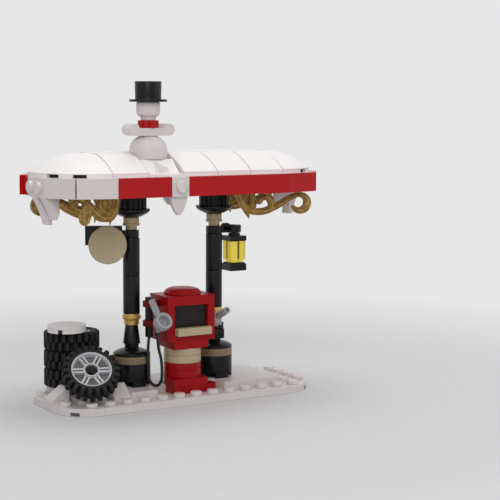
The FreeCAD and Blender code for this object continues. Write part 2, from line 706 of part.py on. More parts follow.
def scrolls():
    right_main = ribbon([[(18.4, 89.5), (18.4, 87)], [(18.4, 87), (21.9, 80.6), (30.4, 77.6)],
                         [(30.4, 77.6), (39.8, 79.7), (47.4, 84.8)],
                         [(47.4, 84.8), (49.5, 86), (51.9, 86.5)], [(51.9, 86.5), (56.4, 82), (51.9, 77.5)],
                         [(51.9, 77.5), (49.5, 78.1), (48, 79.6)]], 2.2)
    right_curl = ribbon([[(34.6, 79.4), (37.2, 84), (33.8, 87.4)], [(33.8, 87.4), (31, 86.6), (30.6, 84.4)]], 2)
    right_leaf = leaf([(21.9, 81.2), (22.4, 78.4), (24.9, 76.4), (25.9, 79.2)])
    right_stem = strip(32.8, 34.8, 87.2, 90.6)
    right_ball = ball(31.6, 83.8, 1.5)
    right = scroll("right_scroll", -21.2, [right_main, right_curl, right_leaf, right_ball, right_stem])
    both_halves("scrolls_right", [right])
    left_main = ribbon([[(-33.9, 89.5), (-33.9, 86.5)], [(-33.9, 86.5), (-35, 80.4), (-38.6, 78)],
                        [(-38.6, 78), (-41.9, 79.4), (-44.4, 82.4)], [(-44.4, 82.4), (-47, 85.6), (-50.6, 86)]], 2.2)
    left_band = ribbon([[(-57.6, 85.2), (-54, 81.6), (-49.4, 79.2)]], 2.1)
    left_petal = leaf([(-50.6, 87), (-52.6, 81), (-48.4, 76.4), (-45.6, 81.4)])
    left_curl = ribbon([[(-37, 79.6), (-41, 84.6), (-37.4, 89.6)]], 2)
    stems = [strip(-51.8, -49.8, 86, 90.6), strip(-57.2, -55.2, 85, 90.6)]
    left = scroll("left_scroll", -17.2, [left_main, left_band, left_petal, left_curl] + stems)
    both_halves("scrolls_left", [left])


# Snowman, turning about an upright line
SNOWMAN = (-16, -8)


def snowman():
    rim = "round_width/2"
    dome = [(0, 0), (rim, 0), (rim, 3), (7.4, 5.3), (6.2, 7.3), (4.9, 8.6), (3.3, 9.5), (2.4, 9.5), (2.4, 11.2),
            (0, 11.2)]
    keep(turned("snowman_body", dome, SNOWMAN + (102.1,)))
    plate = block("arms_plate", (-8.35, -3.9, 0), (16.7, 7.8, 3.2))
    rolls = [rod("arms_roll", 2.5, 7.8, (side * 8.35, 3.9, 2.5), FACING_FRONT, 16) for side in (-1, 1)]
    stud = rod("arms_stud", "stud_width/2", "stud_rise", (0, 0, 3.2))
    socket = hole("arms_socket", "(stud_width+socket_play)/2", 2.8, (0, 0, -1))
    arms = keep(cut("snowman_arms", fused("arms_whole", [plate, stud] + rolls), socket))
    place(arms, *SNOWMAN, 111.6)
    core = rod("collar_core", 3.9, 3.1, (0, 0, 0))
    petals = [rod("collar_petal", 1.5, 3.1, tuple(Rotation(Vector(0, 0, 1), turn).multVec(Vector(3, 0, 0))), sides=8)
              for turn in range(18, 378, 72)]
    bore = hole("collar_bore", "(stud_width+socket_play)/2", 2.8, (0, 0, -1))
    place(keep(cut("snowman_collar", fused("collar_whole", [core] + petals), bore)), *SNOWMAN, 114.8)
    head = [(0, 0), (3.2, 0), (3.2, 1.5), (4.2, 1.9), (4.93, 3.1), (4.93, 6.6), (3.9, 7.6), (2.4, 7.6),
            (2.4, 9.3), (0, 9.3)]
    keep(turned("snowman_head", head, SNOWMAN + (117.9,)))
    hat = [(2.45, 0), (rim, 0), (rim, 1.3), (5.2, 1.3), (5.55, 8.4), (0, 8.4), (0, 1.8), (2.45, 1.8)]
    keep(turned("snowman_hat", hat, SNOWMAN + (125.5,)))


# Sign and lantern
SIGN_SWING = Rotation(Vector(0, 0, 1), 154.2)


def sign():
    """A plate that clips round the left column's pin, with a round face in front."""
    plate = block("sign_square", (3.8, 0.5, 66), (15.4, 3.2, 8))
    ring = rod("sign_ring", 3.3, 3.1, (0, 0, 68.95))
    neck = block("sign_neck", (2, -0.4, 68.95), (2.4, 3, 3.1))
    bore = hole("sign_bore", "(pin_width+clip_play)/2", 5, (0, 0, 68))
    board = keep(cut("sign_plate", fused("sign_whole", [plate, ring, neck]), bore))
    place(board, "-column_spacing/2", turn=SIGN_SWING)
    disc = turned("sign_round", [(0, 0), (7.95, 0), (7.95, 2.9), (7.6, 3.2), (0, 3.2)], (9.9, 3.7, 66.3),
                  Rotation(Vector(1, 0, 0), -90))
    link = doc.addObject("App::Link", "sign_round_copy")
    link.LinkedObject = disc
    link.LinkTransform = True
    place(link, "-column_spacing/2", turn=SIGN_SWING)
    face = keep(doc.addObject("Part::Compound", "sign_disc"))
    face.Links = [link]


LANTERN_REACH = 10.2


def lantern_arm():
    collar = block("arm_collar", (-3.5, -3.5, 68.95), (7, 7, 3.1))
    boom = block("arm_boom", (3, -1.6, 68.95), (LANTERN_REACH - 3, 3.2, 3.1))
    boss = rod("arm_boss", 3, 3.1, (LANTERN_REACH, 0, 68.95))
    hump = rod("arm_hump", 2.2, 3.2, (LANTERN_REACH / 2 + 0.8, 1.6, 71), FACING_FRONT)
    peg = rod("arm_peg", 1.5, 3, (LANTERN_REACH, 0, 66))
    bore = hole("arm_bore", "(pin_width+clip_play)/2", 5, (0, 0, 68))
    arm = keep(cut("lantern_arm", fused("arm_whole", [collar, boom, boss, hump, peg]), bore))
    place(arm, "column_spacing/2")


def lantern():
    """Cap, lens with a lobe at each corner, and foot."""
    side = 7.8
    centre = number("column_spacing/2") + LANTERN_REACH
    cap = block("cap_square", (-side / 2, -side / 2, 0), (side, side, 2.2))
    crown = rod("cap_crown", 2.6, 1.2, (0, 0, 2.2))
    bore = hole("cap_bore", 1.55, 3, (0, 0, 0.7))
    place(keep(cut("lantern_cap", fused("cap_whole", [cap, crown]), bore)), centre, 0, 65.2)
    core = block("lens_core", (-3.1, -3.1, 0), (6.2, 6.2, 9.4))
    lobes = [rod("lens_lobe", 1.3, 8, (x * 2.6, y * 2.6, 1.4), sides=8) for x in (-1, 1) for y in (-1, 1)]
    place(keep(fused("lantern_lens", [core] + lobes)), centre, 0, 55.8)
    foot = block("foot_square", (-side / 2, -side / 2, 0), (side, side, 3))
    ledge = block("foot_ledge", (-3.4, -3.4, 3), (6.8, 6.8, 0.6))
    place(keep(fused("lantern_base", [foot, ledge])), centre, 0, 52.2)


# Wheels, each with its axis upright about the middle of its width
TREAD_BLOCKS = 22
STACK_LEVELS = (("lower", 11.1), ("middle", 18.9), ("upper", 26.7))
SPARE_CENTRE = (-46, -14.9, 15.9)
SPARE_TURN = Rotation(Vector(0, 0, 1), -18).multiply(Rotation(Vector(1, 0, 0), 46))


def tyre(name, profile):
    """A tyre with two rows of tread blocks, one half a step round from the other."""
    carcass = turned(name + "_carcass", profile, sides=TREAD_BLOCKS)
    width = 1.9
    foot = 9.5
    blocks = []
    for row, low in enumerate((0, "-tyre_width/2")):
        for index in range(TREAD_BLOCKS):
            turn = Rotation(Vector(0, 0, 1), (index + row / 2) * 360 / TREAD_BLOCKS)
            corner = turn.multVec(Vector(foot, -width / 2, 0))
            blocks.append(block("tread_block", (corner.x, corner.y, low),
                                ("tyre_outer-%g" % foot, width, "tyre_width/2"), turn))
    return fused(name, [carcass] + blocks)


def spare_rim():
    """A rim with six double spokes over a web, with the gaps between the spokes sunk in it."""
    profile = [(7, -2.9), ("rim_outer-0.1", -2.9), ("rim_outer-0.1", 2.8), (8.5, 3.45), (8.1, 3.45), (7.7, 2.8),
               (3.7, 2.8), (3.4, 3.2), (2.4, 3.2), (2.4, -2.9), (3.5, -2.9), (3.5, 0.4), (7, 0.4)]
    wheel = turned("rim_round", profile, sides=18)
    openings = []
    for index in range(6):
        turn = Rotation(Vector(0, 0, 1), 60 * index)
        slot = turn.multVec(Vector(4.3, -0.35, 0))
        openings.append(block("spoke_slot", tuple(slot), (2.6, 0.7, 4), turn))
        gap = doc.addObject("Part::Wedge", "spoke_gap")
        gap.Xmin, gap.Xmax, gap.X2min, gap.X2max = -0.5, 0.5, -2.25, 2.25
        gap.Ymin, gap.Ymax = 4, 7.1
        gap.Zmin, gap.Zmax, gap.Z2min, gap.Z2max = 1.5, 4, 1.5, 4
        openings.append(place(gap, turn=turn))
    return cut("rim", wheel, fused("rim_openings", openings))


def stacked_rim():
    """The rim again for the stack, where its spokes are covered: a plain web."""
    profile = [(7, -2.9), ("rim_outer-0.1", -2.9), ("rim_outer-0.1", 3.4), (7, 3.4), (7, 2.7), (2.5, 2.7),
               (2.5, 1.2), (7, 1.2)]
    return turned("plain_rim", profile, sides=14)


def wheels():
    half = "tyre_width/2"
    flat_side = [("rim_outer+0.15", "-" + half), (10, "-" + half), (10, half), ("rim_outer+0.15", half)]
    beaded = [("rim_outer", -2.85), (9, "-" + half), (10, "-" + half), (10, half), (9, half), ("rim_outer", 2.85)]
    copies("spare_tyre", [tyre("tyre", beaded)], [SPARE_CENTRE + (SPARE_TURN,)])
    copies("spare_rim", [spare_rim()], [SPARE_CENTRE + (SPARE_TURN,)])
    stacked = (("tyre", tyre("stacked_tyre", flat_side)), ("rim", stacked_rim()))
    for level, height in STACK_LEVELS:
        for kind, piece in stacked:
            copies("stack_%s_%s" % (kind, level), [piece], [STACK + (height,)])


def stack_post():
    """The post through the stacked wheels, with a shoulder and a stud for the lid."""
    profile = [(0, 0), (2.3, 0), (2.3, 23.7), (3.2, 23.7), (3.2, 24.3), (2.4, 24.3), (2.4, 26), (0, 26)]
    keep(turned("stack_post", profile, STACK + (6.4,), sides=12))


def stack_disc():
    """A round lid that sits on the post's stud by one of its four sockets."""
    disc = rod("disc_round", "round_width/2", 3, (0, 0, 0), sides=20)
    notch = block("disc_notch", (-6.2, -9, -0.5), (1.6, 4, 1.6))
    place(keep(cut("stack_disc", disc, fused("disc_cuts", [sockets(SQUARE), notch]))), -48, 4, 30.75)


def build():
    base_middle()
    base_ends()
    upper_plate()
    stack_plate()
    wheel_chocks()
    column_drums()
    column_stack()
    column_capitals()
    pump_foot()
    pump_rounds()
    pump_cabinet()
    hose_holders()
    holder_clips()
    left_hose()
    nozzle("left_nozzle", (-16.6, -16.9, 31), (0.2, -1, 3.4), (-0.3, 5.4, 6), (-0.12, -0.93, 0.32))
    nozzle("right_nozzle", (18.9, -8.3, 30.2), (2.4, -1.2, 3.4), (0.8, -7.6, 7), (-0.93, -0.1, 0.35))
    canopy_slab()
    fascia()
    tooth_plate()
    end_claws()
    roof_slopes()
    roof_ridge()
    roof_ends()
    snow_mound()
    scrolls()
    snowman()
    sign()
    lantern_arm()
    lantern()
    wheels()
    stack_post()
    stack_disc()


def write_parts():
    """Check every object and every piece, then write one file for each node."""
    doc.recompute()
    for item in doc.Objects:
        if "Invalid" in item.State or "Error" in item.State:
            raise RuntimeError("%s is %s" % (item.Name, item.State))
    for node in nodes:
        if node.Shape.isNull() or not node.Shape.isValid():
            raise RuntimeError("%s has no valid shape" % node.Label)
    os.makedirs("parts", exist_ok=True)
    for node in nodes:
        node.Shape.exportStep("parts/%s.step" % node.Label)
    print(len(nodes), "nodes written")


build()
write_parts()
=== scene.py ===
"""Looks, light and camera for the building brick service station. Metres, in the part's own frame."""
import bmesh
import bpy
import json
import math
from mathutils import Matrix, Vector

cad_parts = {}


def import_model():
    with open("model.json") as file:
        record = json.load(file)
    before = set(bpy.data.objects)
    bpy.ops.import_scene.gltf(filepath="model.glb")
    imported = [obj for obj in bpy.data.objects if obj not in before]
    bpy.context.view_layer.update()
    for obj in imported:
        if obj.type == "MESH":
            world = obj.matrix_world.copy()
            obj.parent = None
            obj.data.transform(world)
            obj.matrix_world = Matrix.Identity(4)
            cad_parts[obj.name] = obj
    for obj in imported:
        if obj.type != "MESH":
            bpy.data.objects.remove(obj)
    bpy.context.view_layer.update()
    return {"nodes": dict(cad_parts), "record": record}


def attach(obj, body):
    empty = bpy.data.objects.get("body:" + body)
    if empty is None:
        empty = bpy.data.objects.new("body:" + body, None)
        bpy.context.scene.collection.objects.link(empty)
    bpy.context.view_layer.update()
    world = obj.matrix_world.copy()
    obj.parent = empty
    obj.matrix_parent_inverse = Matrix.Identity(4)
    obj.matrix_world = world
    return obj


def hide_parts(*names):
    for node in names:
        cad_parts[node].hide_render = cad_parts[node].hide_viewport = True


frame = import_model()

MM = 0.001

# Camera: viewing angles in degrees, eye and near limit in metres, lens and sensor in millimetres
AZIMUTH = 31.4
PITCH = 6.15
ROLL = 0.27
EYE = Vector((-0.29443, -0.54516, 0.12934))
FOCAL_LENGTH = 105.0
SENSOR_WIDTH = 36
NEAR_LIMIT = 0.01

# Brightness that the camera sees behind the object, and the world's light on it
BACKDROP = (0.80, 0.80, 0.805)
WORLD_LIGHT = 0.38

# Softboxes: name, place and size in metres, watts
SOFTBOXES = [("key", (-0.6, -0.95, 0.65), (0.7, 0.7), 4.2), ("fill", (0.75, -0.6, 0.45), (0.7, 0.5), 0.8),
             ("top", (0.1, 0.1, 1.2), (0.9, 0.9), 7.0)]
LIT_POINT = (0, 0, 0.06)

# Floor: half its side, its drop below the object, and the distances over which it fades, in metres
FLOOR_HALF = 1.6
FLOOR_DROP = 0.00004
FADE_START = 0.15
FADE_END = 0.33
FLOOR_TINTS = ((0.665, 0.665, 0.665), (0.685, 0.685, 0.685))

# Hose route, in millimetres, from the long bar round the loop to the nozzle
HOSE_ROUTE = [(-15.9, -8, 27.6), (-16.5, -7.9, 22), (-16.4, -8, 16.2), (-16.2, -8, 9.85), (-15.6, -10.4, 7.4),
              (-14.8, -13.7, 7.4), (-14.2, -16.1, 9.85), (-14.2, -16.4, 14), (-14.8, -17, 19.4),
              (-16.4, -17.1, 24.2), (-16.6, -16.9, 29.15)]
HOSE_WIDTH = 1.25 * MM

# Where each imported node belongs
BODY_OF = {node: body for body, nodes in frame["record"]["behaviour"]["bodies"].items() for node in nodes}
SLOT_OF = {piece["node"]: piece["material_slot"] for piece in frame["record"]["subparts"]}

# Nodes whose look differs a little from their slot's: lighter and darker copies of the slot's colour, which
# are painted light and painted shade
# The sign disc takes a lighter tan than its dark tan slot, as painted light on the disc facing the key light;
# the column bushes share that tan
LOOK_OF = {"sign_disc": "light_tan", "column_bushes": "light_tan", "column_collars": "collar_gold_painted_light",
           # The spare rim takes a brighter copy of its grey as painted light; the holder clips take a darker
           # red as painted shade
           "spare_rim": "bright_grey", "holder_clips": "dark_red"}
# The pump takes a darker copy of the red: painted shade under the canopy
for pump_node in ("pump_base", "pump_drum", "pump_underpart", "pump_cabinet", "pump_dome"):
    LOOK_OF[pump_node] = "deep_red"
# The roof and the snow on it take a brighter white: painted light from above
for roof_node in ("roof_slopes", "roof_ridge", "roof_ends", "snow_mound"):
    LOOK_OF[roof_node] = "roof_white"

# Sizes in millimetres: STUD and ROUND are the radii of a stud and of a round brick two studs across
STUD_PITCH = 8
PLATE = 3.2
STUD = 2.4
STUD_RISE = 1.7
ROUND = 7.9

# Middles (x, y) of what stands on the base and on the roof, in millimetres
COLUMNS = ((-20, 0), (20, 0))
PUMP = (0, -8)
STACK = (-44, 8)
SNOWMAN = (-16, -8)

# Corners of a full round, and the angles in degrees from which an edge is sharp and is rounded
TURN_STEPS = 56
SHARP_FROM = 32
ROUNDED_FROM = 35

# Sockets of the mix node that carry colours
FIRST_COLOUR = 6
SECOND_COLOUR = 7
MIXED_COLOUR = 2


# Shader building blocks
class Shader:
    """A material's node tree with one principled surface."""

    def __init__(self, name):
        self.material = bpy.data.materials.new(name)
        self.material.use_nodes = True
        self.tree = self.material.node_tree
        self.tree.nodes.clear()
        self.output = self.add("ShaderNodeOutputMaterial")
        self.surface = self.add("ShaderNodeBsdfPrincipled")
        self.link(self.surface.outputs[0], self.output.inputs["Surface"])
        self.place = self.add("ShaderNodeTexCoord").outputs["Object"]

    def add(self, kind, **settings):
        node = self.tree.nodes.new(kind)
        for key, value in settings.items():
            setattr(node, key, value)
        return node

    def link(self, source, target):
        self.tree.links.new(source, target)

    def feed(self, socket, source):
        """Let a node's output drive a socket of the surface."""
        self.link(source, self.surface.inputs[socket])

    def fix(self, socket, value):
        """Set a socket of the surface to one value all over."""
        self.surface.inputs[socket].default_value = value

    def noise(self, size, detail=3.0, stretch=(1, 1, 1)):
        """Noise whose features are about size metres across."""
        mapping = self.add("ShaderNodeMapping")
        mapping.inputs["Scale"].default_value = stretch
        self.link(self.place, mapping.inputs["Vector"])
        node = self.add("ShaderNodeTexNoise")
        node.inputs["Scale"].default_value = 1 / size
        node.inputs["Detail"].default_value = detail
        self.link(mapping.outputs[0], node.inputs["Vector"])
        return node.outputs["Fac"]

    def ranged(self, value, low, high, start=0.3, end=0.7):
        """A value that goes from low to high while the given one goes from start to end."""
        node = self.add("ShaderNodeMapRange")
        node.inputs["From Min"].default_value = start
        node.inputs["From Max"].default_value = end
        node.inputs["To Min"].default_value = low
        node.inputs["To Max"].default_value = high
        self.link(value, node.inputs["Value"])
        return node.outputs[0]

    def mix(self, factor, first, second):
        """The first colour where the factor is 0 and the second where it is 1."""
        node = self.add("ShaderNodeMix", data_type="RGBA")
        self.link(factor, node.inputs["Factor"])
        for socket, value in ((node.inputs[FIRST_COLOUR], first), (node.inputs[SECOND_COLOUR], second)):
            if isinstance(value, bpy.types.NodeSocket):
                self.link(value, socket)
            else:
                socket.default_value = (*value, 1)
        return node.outputs[MIXED_COLOUR]

    def rounded(self, radius):
        """Normals that are rounded along edges."""
        bevel = self.add("ShaderNodeBevel", samples=6)
        bevel.inputs["Radius"].default_value = radius
        return bevel.outputs[0]

    def edges(self, radius):
        """Rounded normals along edges, and a mask that is 1 on them."""
        normal = self.rounded(radius)
        true_normal = self.add("ShaderNodeNewGeometry").outputs["Normal"]
        dot = self.add("ShaderNodeVectorMath", operation="DOT_PRODUCT")
        self.link(normal, dot.inputs[0])
        self.link(true_normal, dot.inputs[1])
        return normal, self.ranged(dot.outputs["Value"], 1, 0, 0.75, 0.99)

    def bump(self, height, strength, depth, normal):
        node = self.add("ShaderNodeBump")
        node.inputs["Strength"].default_value = strength
        node.inputs["Distance"].default_value = depth
        self.link(height, node.inputs["Height"])
        self.link(normal, node.inputs["Normal"])
        self.feed("Normal", node.outputs[0])


def shade(colour, factor):
    return tuple(min(1, channel * factor) for channel in colour)


# Materials
def moulded_plastic(name, colour, roughness, mottle, edge_light, gleam, grain):
    """Injection-moulded plastic: faint flow mottling, uneven gloss, fine grain, rounded edge normals, and a
    painted highlight that lightens its edges.
    """
    shader = Shader(name)
    flow = shader.noise(6 * MM, 4, (1, 1, 0.45))
    tint = shader.mix(shader.ranged(flow, 0, 1), shade(colour, 1 - mottle), shade(colour, 1 + mottle))
    normal, edge = shader.edges(0.16 * MM)
    # Painted highlight: along edges the colour turns lighter by edge_light, unevenly over a noise
    edge_highlight = shader.mix(shader.ranged(shader.noise(1.5 * MM), 0, 1), colour, shade(colour, edge_light))
    shader.feed("Base Color", shader.mix(edge, tint, edge_highlight))
    shader.feed("Roughness", shader.ranged(shader.noise(2.2 * MM, 5), roughness * 0.8, roughness * 1.3))
    shader.fix("Specular IOR Level", gleam)
    shader.fix("IOR", 1.5)
    shader.bump(shader.noise(1.6 * MM, 2), grain, 0.004 * MM, normal)
    return shader.material


def pearl_gold(name, dark, light):
    """Gold plastic with metal flakes that swirl along the flow of the mould, and a painted highlight that
    lightens its edges.
    """
    shader = Shader(name)
    swirl = shader.noise(3 * MM, 6, (1, 0.4, 1.6))
    tint = shader.mix(shader.ranged(swirl, 0, 1, 0.35, 0.65), dark, light)
    normal, edge = shader.edges(0.3 * MM)
    # Painted highlight: edges take a lighter copy of the light gold
    shader.feed("Base Color", shader.mix(edge, tint, shade(light, 1.15)))
    shader.fix("Metallic", 0.35)
    shader.feed("Roughness", shader.ranged(shader.noise(1.2 * MM, 5), 0.26, 0.42))
    shader.bump(shader.noise(0.4 * MM, 4), 0.2, 0.03 * MM, normal)
    return shader.material


def rubber(name, colour, roughness):
    """Matt rubber with a fine grain and uneven tone, and a painted highlight that lightens its edges."""
    shader = Shader(name)
    dust = shader.noise(2.5 * MM, 6)
    tint = shader.mix(shader.ranged(dust, 0, 1), shade(colour, 0.8), shade(colour, 1.4))
    normal, edge = shader.edges(0.14 * MM)
    # Painted highlight: edges take a much lighter copy of the rubber's colour
    shader.feed("Base Color", shader.mix(edge, tint, shade(colour, 2.2)))
    shader.feed("Roughness", shader.ranged(dust, roughness, roughness * 1.25))
    shader.fix("Specular IOR Level", 0.35)
    shader.bump(shader.noise(0.25 * MM, 5), 0.3, 0.03 * MM, normal)
    return shader.material


def clear_yellow():
    """Transparent yellow plastic with faint flow lines and a faint painted glow."""
    shader = Shader("clear_yellow")
    flow = shader.noise(3 * MM, 4, (1, 1, 0.3))
    tint = shader.mix(shader.ranged(flow, 0, 1), (0.98, 0.80, 0.06), (1.0, 0.90, 0.16))
    shader.feed("Base Color", tint)
    # Painted light: the lens glows faintly in its own colour, though it is no lamp
    shader.feed("Emission Color", tint)
    shader.fix("Emission Strength", 0.1)
    shader.fix("Transmission Weight", 0.45)
    shader.fix("IOR", 1.45)
    shader.feed("Roughness", shader.ranged(flow, 0.05, 0.14))
    shader.bump(flow, 0.1, 0.05 * MM, shader.rounded(0.2 * MM))
    return shader.material


def window_recess_shade():
    """Near-black glossy surface behind the pump's window: painted shade for the deep recess there."""
    shader = Shader("window_recess_shade")
    haze = shader.noise(5 * MM, 4)
    # Painted shade: a near-black colour, a little uneven
    tint = shader.mix(shader.ranged(haze, 0, 1), (0.008, 0.006, 0.006), (0.022, 0.017, 0.015))
    shader.feed("Base Color", tint)
    shader.feed("Roughness", shader.ranged(haze, 0.3, 0.42))
    shader.fix("Specular IOR Level", 0.2)
    return shader.material


# Moulded plastics: slot or look, material, colour, roughness, mottle, edge light (how much lighter the
# painted edge highlight is), gleam and grain
PLASTICS = [
    ("base_white", "base_white", (0.72, 0.67, 0.665), 0.34, 0.015, 1.06, 0.4, 0.03),
    ("smoke_white", "canopy_white", (0.77, 0.71, 0.705), 0.34, 0.015, 1.06, 0.4, 0.03),
    ("snow_white", "snow_white", (0.78, 0.725, 0.72), 0.38, 0.01, 1.03, 0.3, 0.005),
    # Painted light: a brighter copy of the white for the roof and its snow
    ("roof_white", "roof_white", (0.90, 0.865, 0.86), 0.42, 0.01, 1.02, 0.3, 0.005),
    ("black", "black_plastic", (0.008, 0.008, 0.009), 0.24, 0.1, 2.4, 0.22, 0.03),
    ("red", "red_plastic", (0.50, 0.009, 0.011), 0.25, 0.04, 1.25, 0.2, 0.03),
    # Painted shade: a darker, less glossy copy of the red for the pump
    ("deep_red", "deep_red_plastic", (0.36, 0.005, 0.007), 0.3, 0.04, 1.25, 0.15, 0.03),
    # Painted shade: a darker copy of the red for the hose holder clips
    ("dark_red", "dark_red_plastic", (0.15, 0.004, 0.006), 0.3, 0.04, 1.3, 0.15, 0.03),
    ("dark_tan", "dark_tan_plastic", (0.235, 0.18, 0.105), 0.32, 0.04, 1.25, 0.4, 0.03),
    # Painted light: a lighter copy of dark tan for the sign disc, which the column bushes share
    ("light_tan", "light_tan_plastic", (0.46, 0.375, 0.235), 0.35, 0.03, 1.2, 0.4, 0.03),
    ("tan", "tan_plastic", (0.50, 0.405, 0.25), 0.32, 0.03, 1.15, 0.4, 0.03),
    ("grey", "light_grey_plastic", (0.37, 0.375, 0.39), 0.26, 0.04, 1.35, 0.4, 0.03),
    # Painted light: a brighter copy of the grey for the spare rim
    ("bright_grey", "rim_grey_plastic", (0.56, 0.565, 0.585), 0.28, 0.04, 1.2, 0.4, 0.03),
    # Painted shade: a dark grey for the rim's sunk webs and hub sleeve and for the backs of the base's slots
    ("web_grey", "rim_web_grey_plastic", (0.14, 0.142, 0.148), 0.34, 0.35, 1.3, 0.4, 0.03),
    # Painted shade: a dark amber for rods that darken the lens creases
    ("dark_amber", "dark_amber_plastic", (0.22, 0.13, 0.008), 0.3, 0.1, 1.3, 0.4, 0.03),
]


def make_materials():
    """Materials by the names of the record's slots and of the looks."""
    made = {look: moulded_plastic(name, *settings) for look, name, *settings in PLASTICS}
    made["gold"] = pearl_gold("pearl_gold", (0.245, 0.14, 0.024), (0.45, 0.275, 0.078))
    # Painted light: a brighter copy of the pearl gold for the column collars
    made["collar_gold_painted_light"] = pearl_gold("collar_gold_painted_light", (0.42, 0.25, 0.05), (0.80, 0.55, 0.16))
    made["tyre_rubber"] = rubber("tyre_rubber", (0.0075, 0.0075, 0.008), 0.62)
    made["hose_rubber"] = rubber("hose_rubber", (0.016, 0.016, 0.017), 0.4)
    made["smoke_glass"] = window_recess_shade()
    made["yellow_clear"] = clear_yellow()
    return made


def dress_nodes():
    """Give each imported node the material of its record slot, or its own look."""
    for name, slot_name in SLOT_OF.items():
        for slot in frame["nodes"][name].material_slots:
            slot.material = materials[LOOK_OF.get(name, slot_name)]


def add_object(name, data):
    piece = bpy.data.objects.new(name, data)
    bpy.context.collection.objects.link(piece)
    return piece


# Hose
def hose():
    """The hose on its own line, standing for the tube of straight runs and arcs."""
    curve = bpy.data.curves.new("pump_hose", "CURVE")
    curve.dimensions = "3D"
    curve.bevel_depth = HOSE_WIDTH / 2
    curve.bevel_resolution = 4
    curve.resolution_u = 12
    spline = curve.splines.new("NURBS")
    spline.points.add(len(HOSE_ROUTE) - 1)
    for point, place in zip(spline.points, HOSE_ROUTE):
        point.co = (*(Vector(place) * MM), 1)
    spline.order_u = 3
    spline.use_endpoint_u = True
    curve.materials.append(materials["hose_rubber"])
    piece = add_object("pump_hose", curve)
    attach(piece, "station")
    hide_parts("left_hose")


# Places, in millimetres
def at(x=0, y=0, z=0, turn=Matrix()):
    return Matrix.Translation((x, y, z)) @ turn.to_4x4()


def about(axis, angle):
    return Matrix.Rotation(math.radians(angle), 4, axis)


def pointing(direction):
    """The turn that carries +Z to a direction."""
    return Vector((0, 0, 1)).rotation_difference(Vector(direction)).to_matrix().to_4x4()


HALF_TURN = about("Z", 180)
BOTH_HALVES = (Matrix(), HALF_TURN)


# Outlines, in millimetres
def soft(outline, radius):
    """The same outline (radius, height) with each corner off the axis cut into a small round."""
    rounded = []
    for before, here, after in zip(outline[-1:] + outline, outline, outline[1:] + outline[:1]):
        corner = Vector(here)
        if here[0] == 0:
            rounded.append(here)
            continue
        start = Vector(before) - corner
        end = Vector(after) - corner
        reach = min(radius, start.length * 0.4, end.length * 0.4)
        first = corner + start.normalized() * reach
        last = corner + end.normalized() * reach
        rounded += [tuple(first), tuple(corner * 0.6 + (first + last) * 0.2), tuple(last)]
    return rounded


def arc(centre, radius, start, end, steps=12):
    """Points (x, y) along an arc between two angles in degrees."""
    angles = [math.radians(start + (end - start) * step / steps) for step in range(steps + 1)]
    return [(centre[0] + radius * math.cos(angle), centre[1] + radius * math.sin(angle)) for angle in angles]


def bulged(start, end, radius, steps=10):
    """Points from start to end along a flat arc that bulges to the right of the way."""
    start = Vector(start)
    chord = Vector(end) - start
    outward = Vector((chord.y, -chord.x)).normalized()
    rise = radius - math.sqrt(radius ** 2 - chord.length ** 2 / 4)
    shares = [step / steps for step in range(steps + 1)]
    return [tuple(start + chord * share + outward * (4 * rise * share * (1 - share))) for share in shares]


# Solids in a mesh, in millimetres
def skin(mesh, rings):
    """Faces between closed rings of corners, and one over each end."""
    for here, there in zip(rings, rings[1:]):
        for index in range(len(here)):
            follower = (index + 1) % len(here)
            mesh.faces.new([here[index], here[follower], there[follower], there[index]])
    mesh.faces.new(rings[0])
    mesh.faces.new(rings[-1])


def turned(mesh, outline, pose=Matrix(), steps=TURN_STEPS):
    """A lathe form: the closed outline (radius, height) goes round its axis."""
    turns = [(math.cos(math.tau * step / steps), math.sin(math.tau * step / steps)) for step in range(steps)]
    rings = []
    for radius, height in outline:
        spots = [(0, 0)] if radius == 0 else [(radius * along, radius * across) for along, across in turns]
        rings.append([mesh.verts.new(pose @ Vector((x, y, height))) for x, y in spots])
    for lower, upper in zip(rings, rings[1:] + rings[:1]):
        if len(lower) == len(upper) == 1:
            continue
        for step in range(steps):
            follower = (step + 1) % steps
            corners = [lower[step % len(lower)], lower[follower % len(lower)],
                       upper[follower % len(upper)], upper[step % len(upper)]]
            mesh.faces.new(list(dict.fromkeys(corners)))


def half_turned(mesh, outline, pose, start, end, steps):
    """A closed outline (radius, height) carried round between two angles, with flat ends."""
    rings = []
    for step in range(steps + 1):
        angle = math.radians(start + (end - start) * step / steps)
        along = math.cos(angle)
        across = math.sin(angle)
        rings.append([mesh.verts.new(pose @ Vector((radius * along, radius * across, height)))
                      for radius, height in outline])
    skin(mesh, rings)


def rod(mesh, radius, low, high, pose=Matrix(), steps=TURN_STEPS):
    turned(mesh, soft([(0, low), (radius, low), (radius, high), (0, high)], 0.18), pose, steps)


def extruded(mesh, outline, low, high, pose=Matrix()):
    """A closed outline (x, y) raised from low to high."""
    skin(mesh, [[mesh.verts.new(pose @ Vector((x, y, z))) for x, y in outline] for z in (low, high)])


def box(mesh, low, size, pose=Matrix()):
    x, y, z = low
    outline = [(x, y), (x + size[0], y), (x + size[0], y + size[1]), (x, y + size[1])]
    extruded(mesh, outline, z, z + size[2], pose)


def stud(mesh, pose):
    rod(mesh, STUD, 0, STUD_RISE, pose, 28)


def studs(mesh, places, lift, pose=Matrix()):
    """Studs on a face, at places counted in pitches."""
    for x, y in places:
        stud(mesh, pose @ at(x * STUD_PITCH, y * STUD_PITCH, lift))


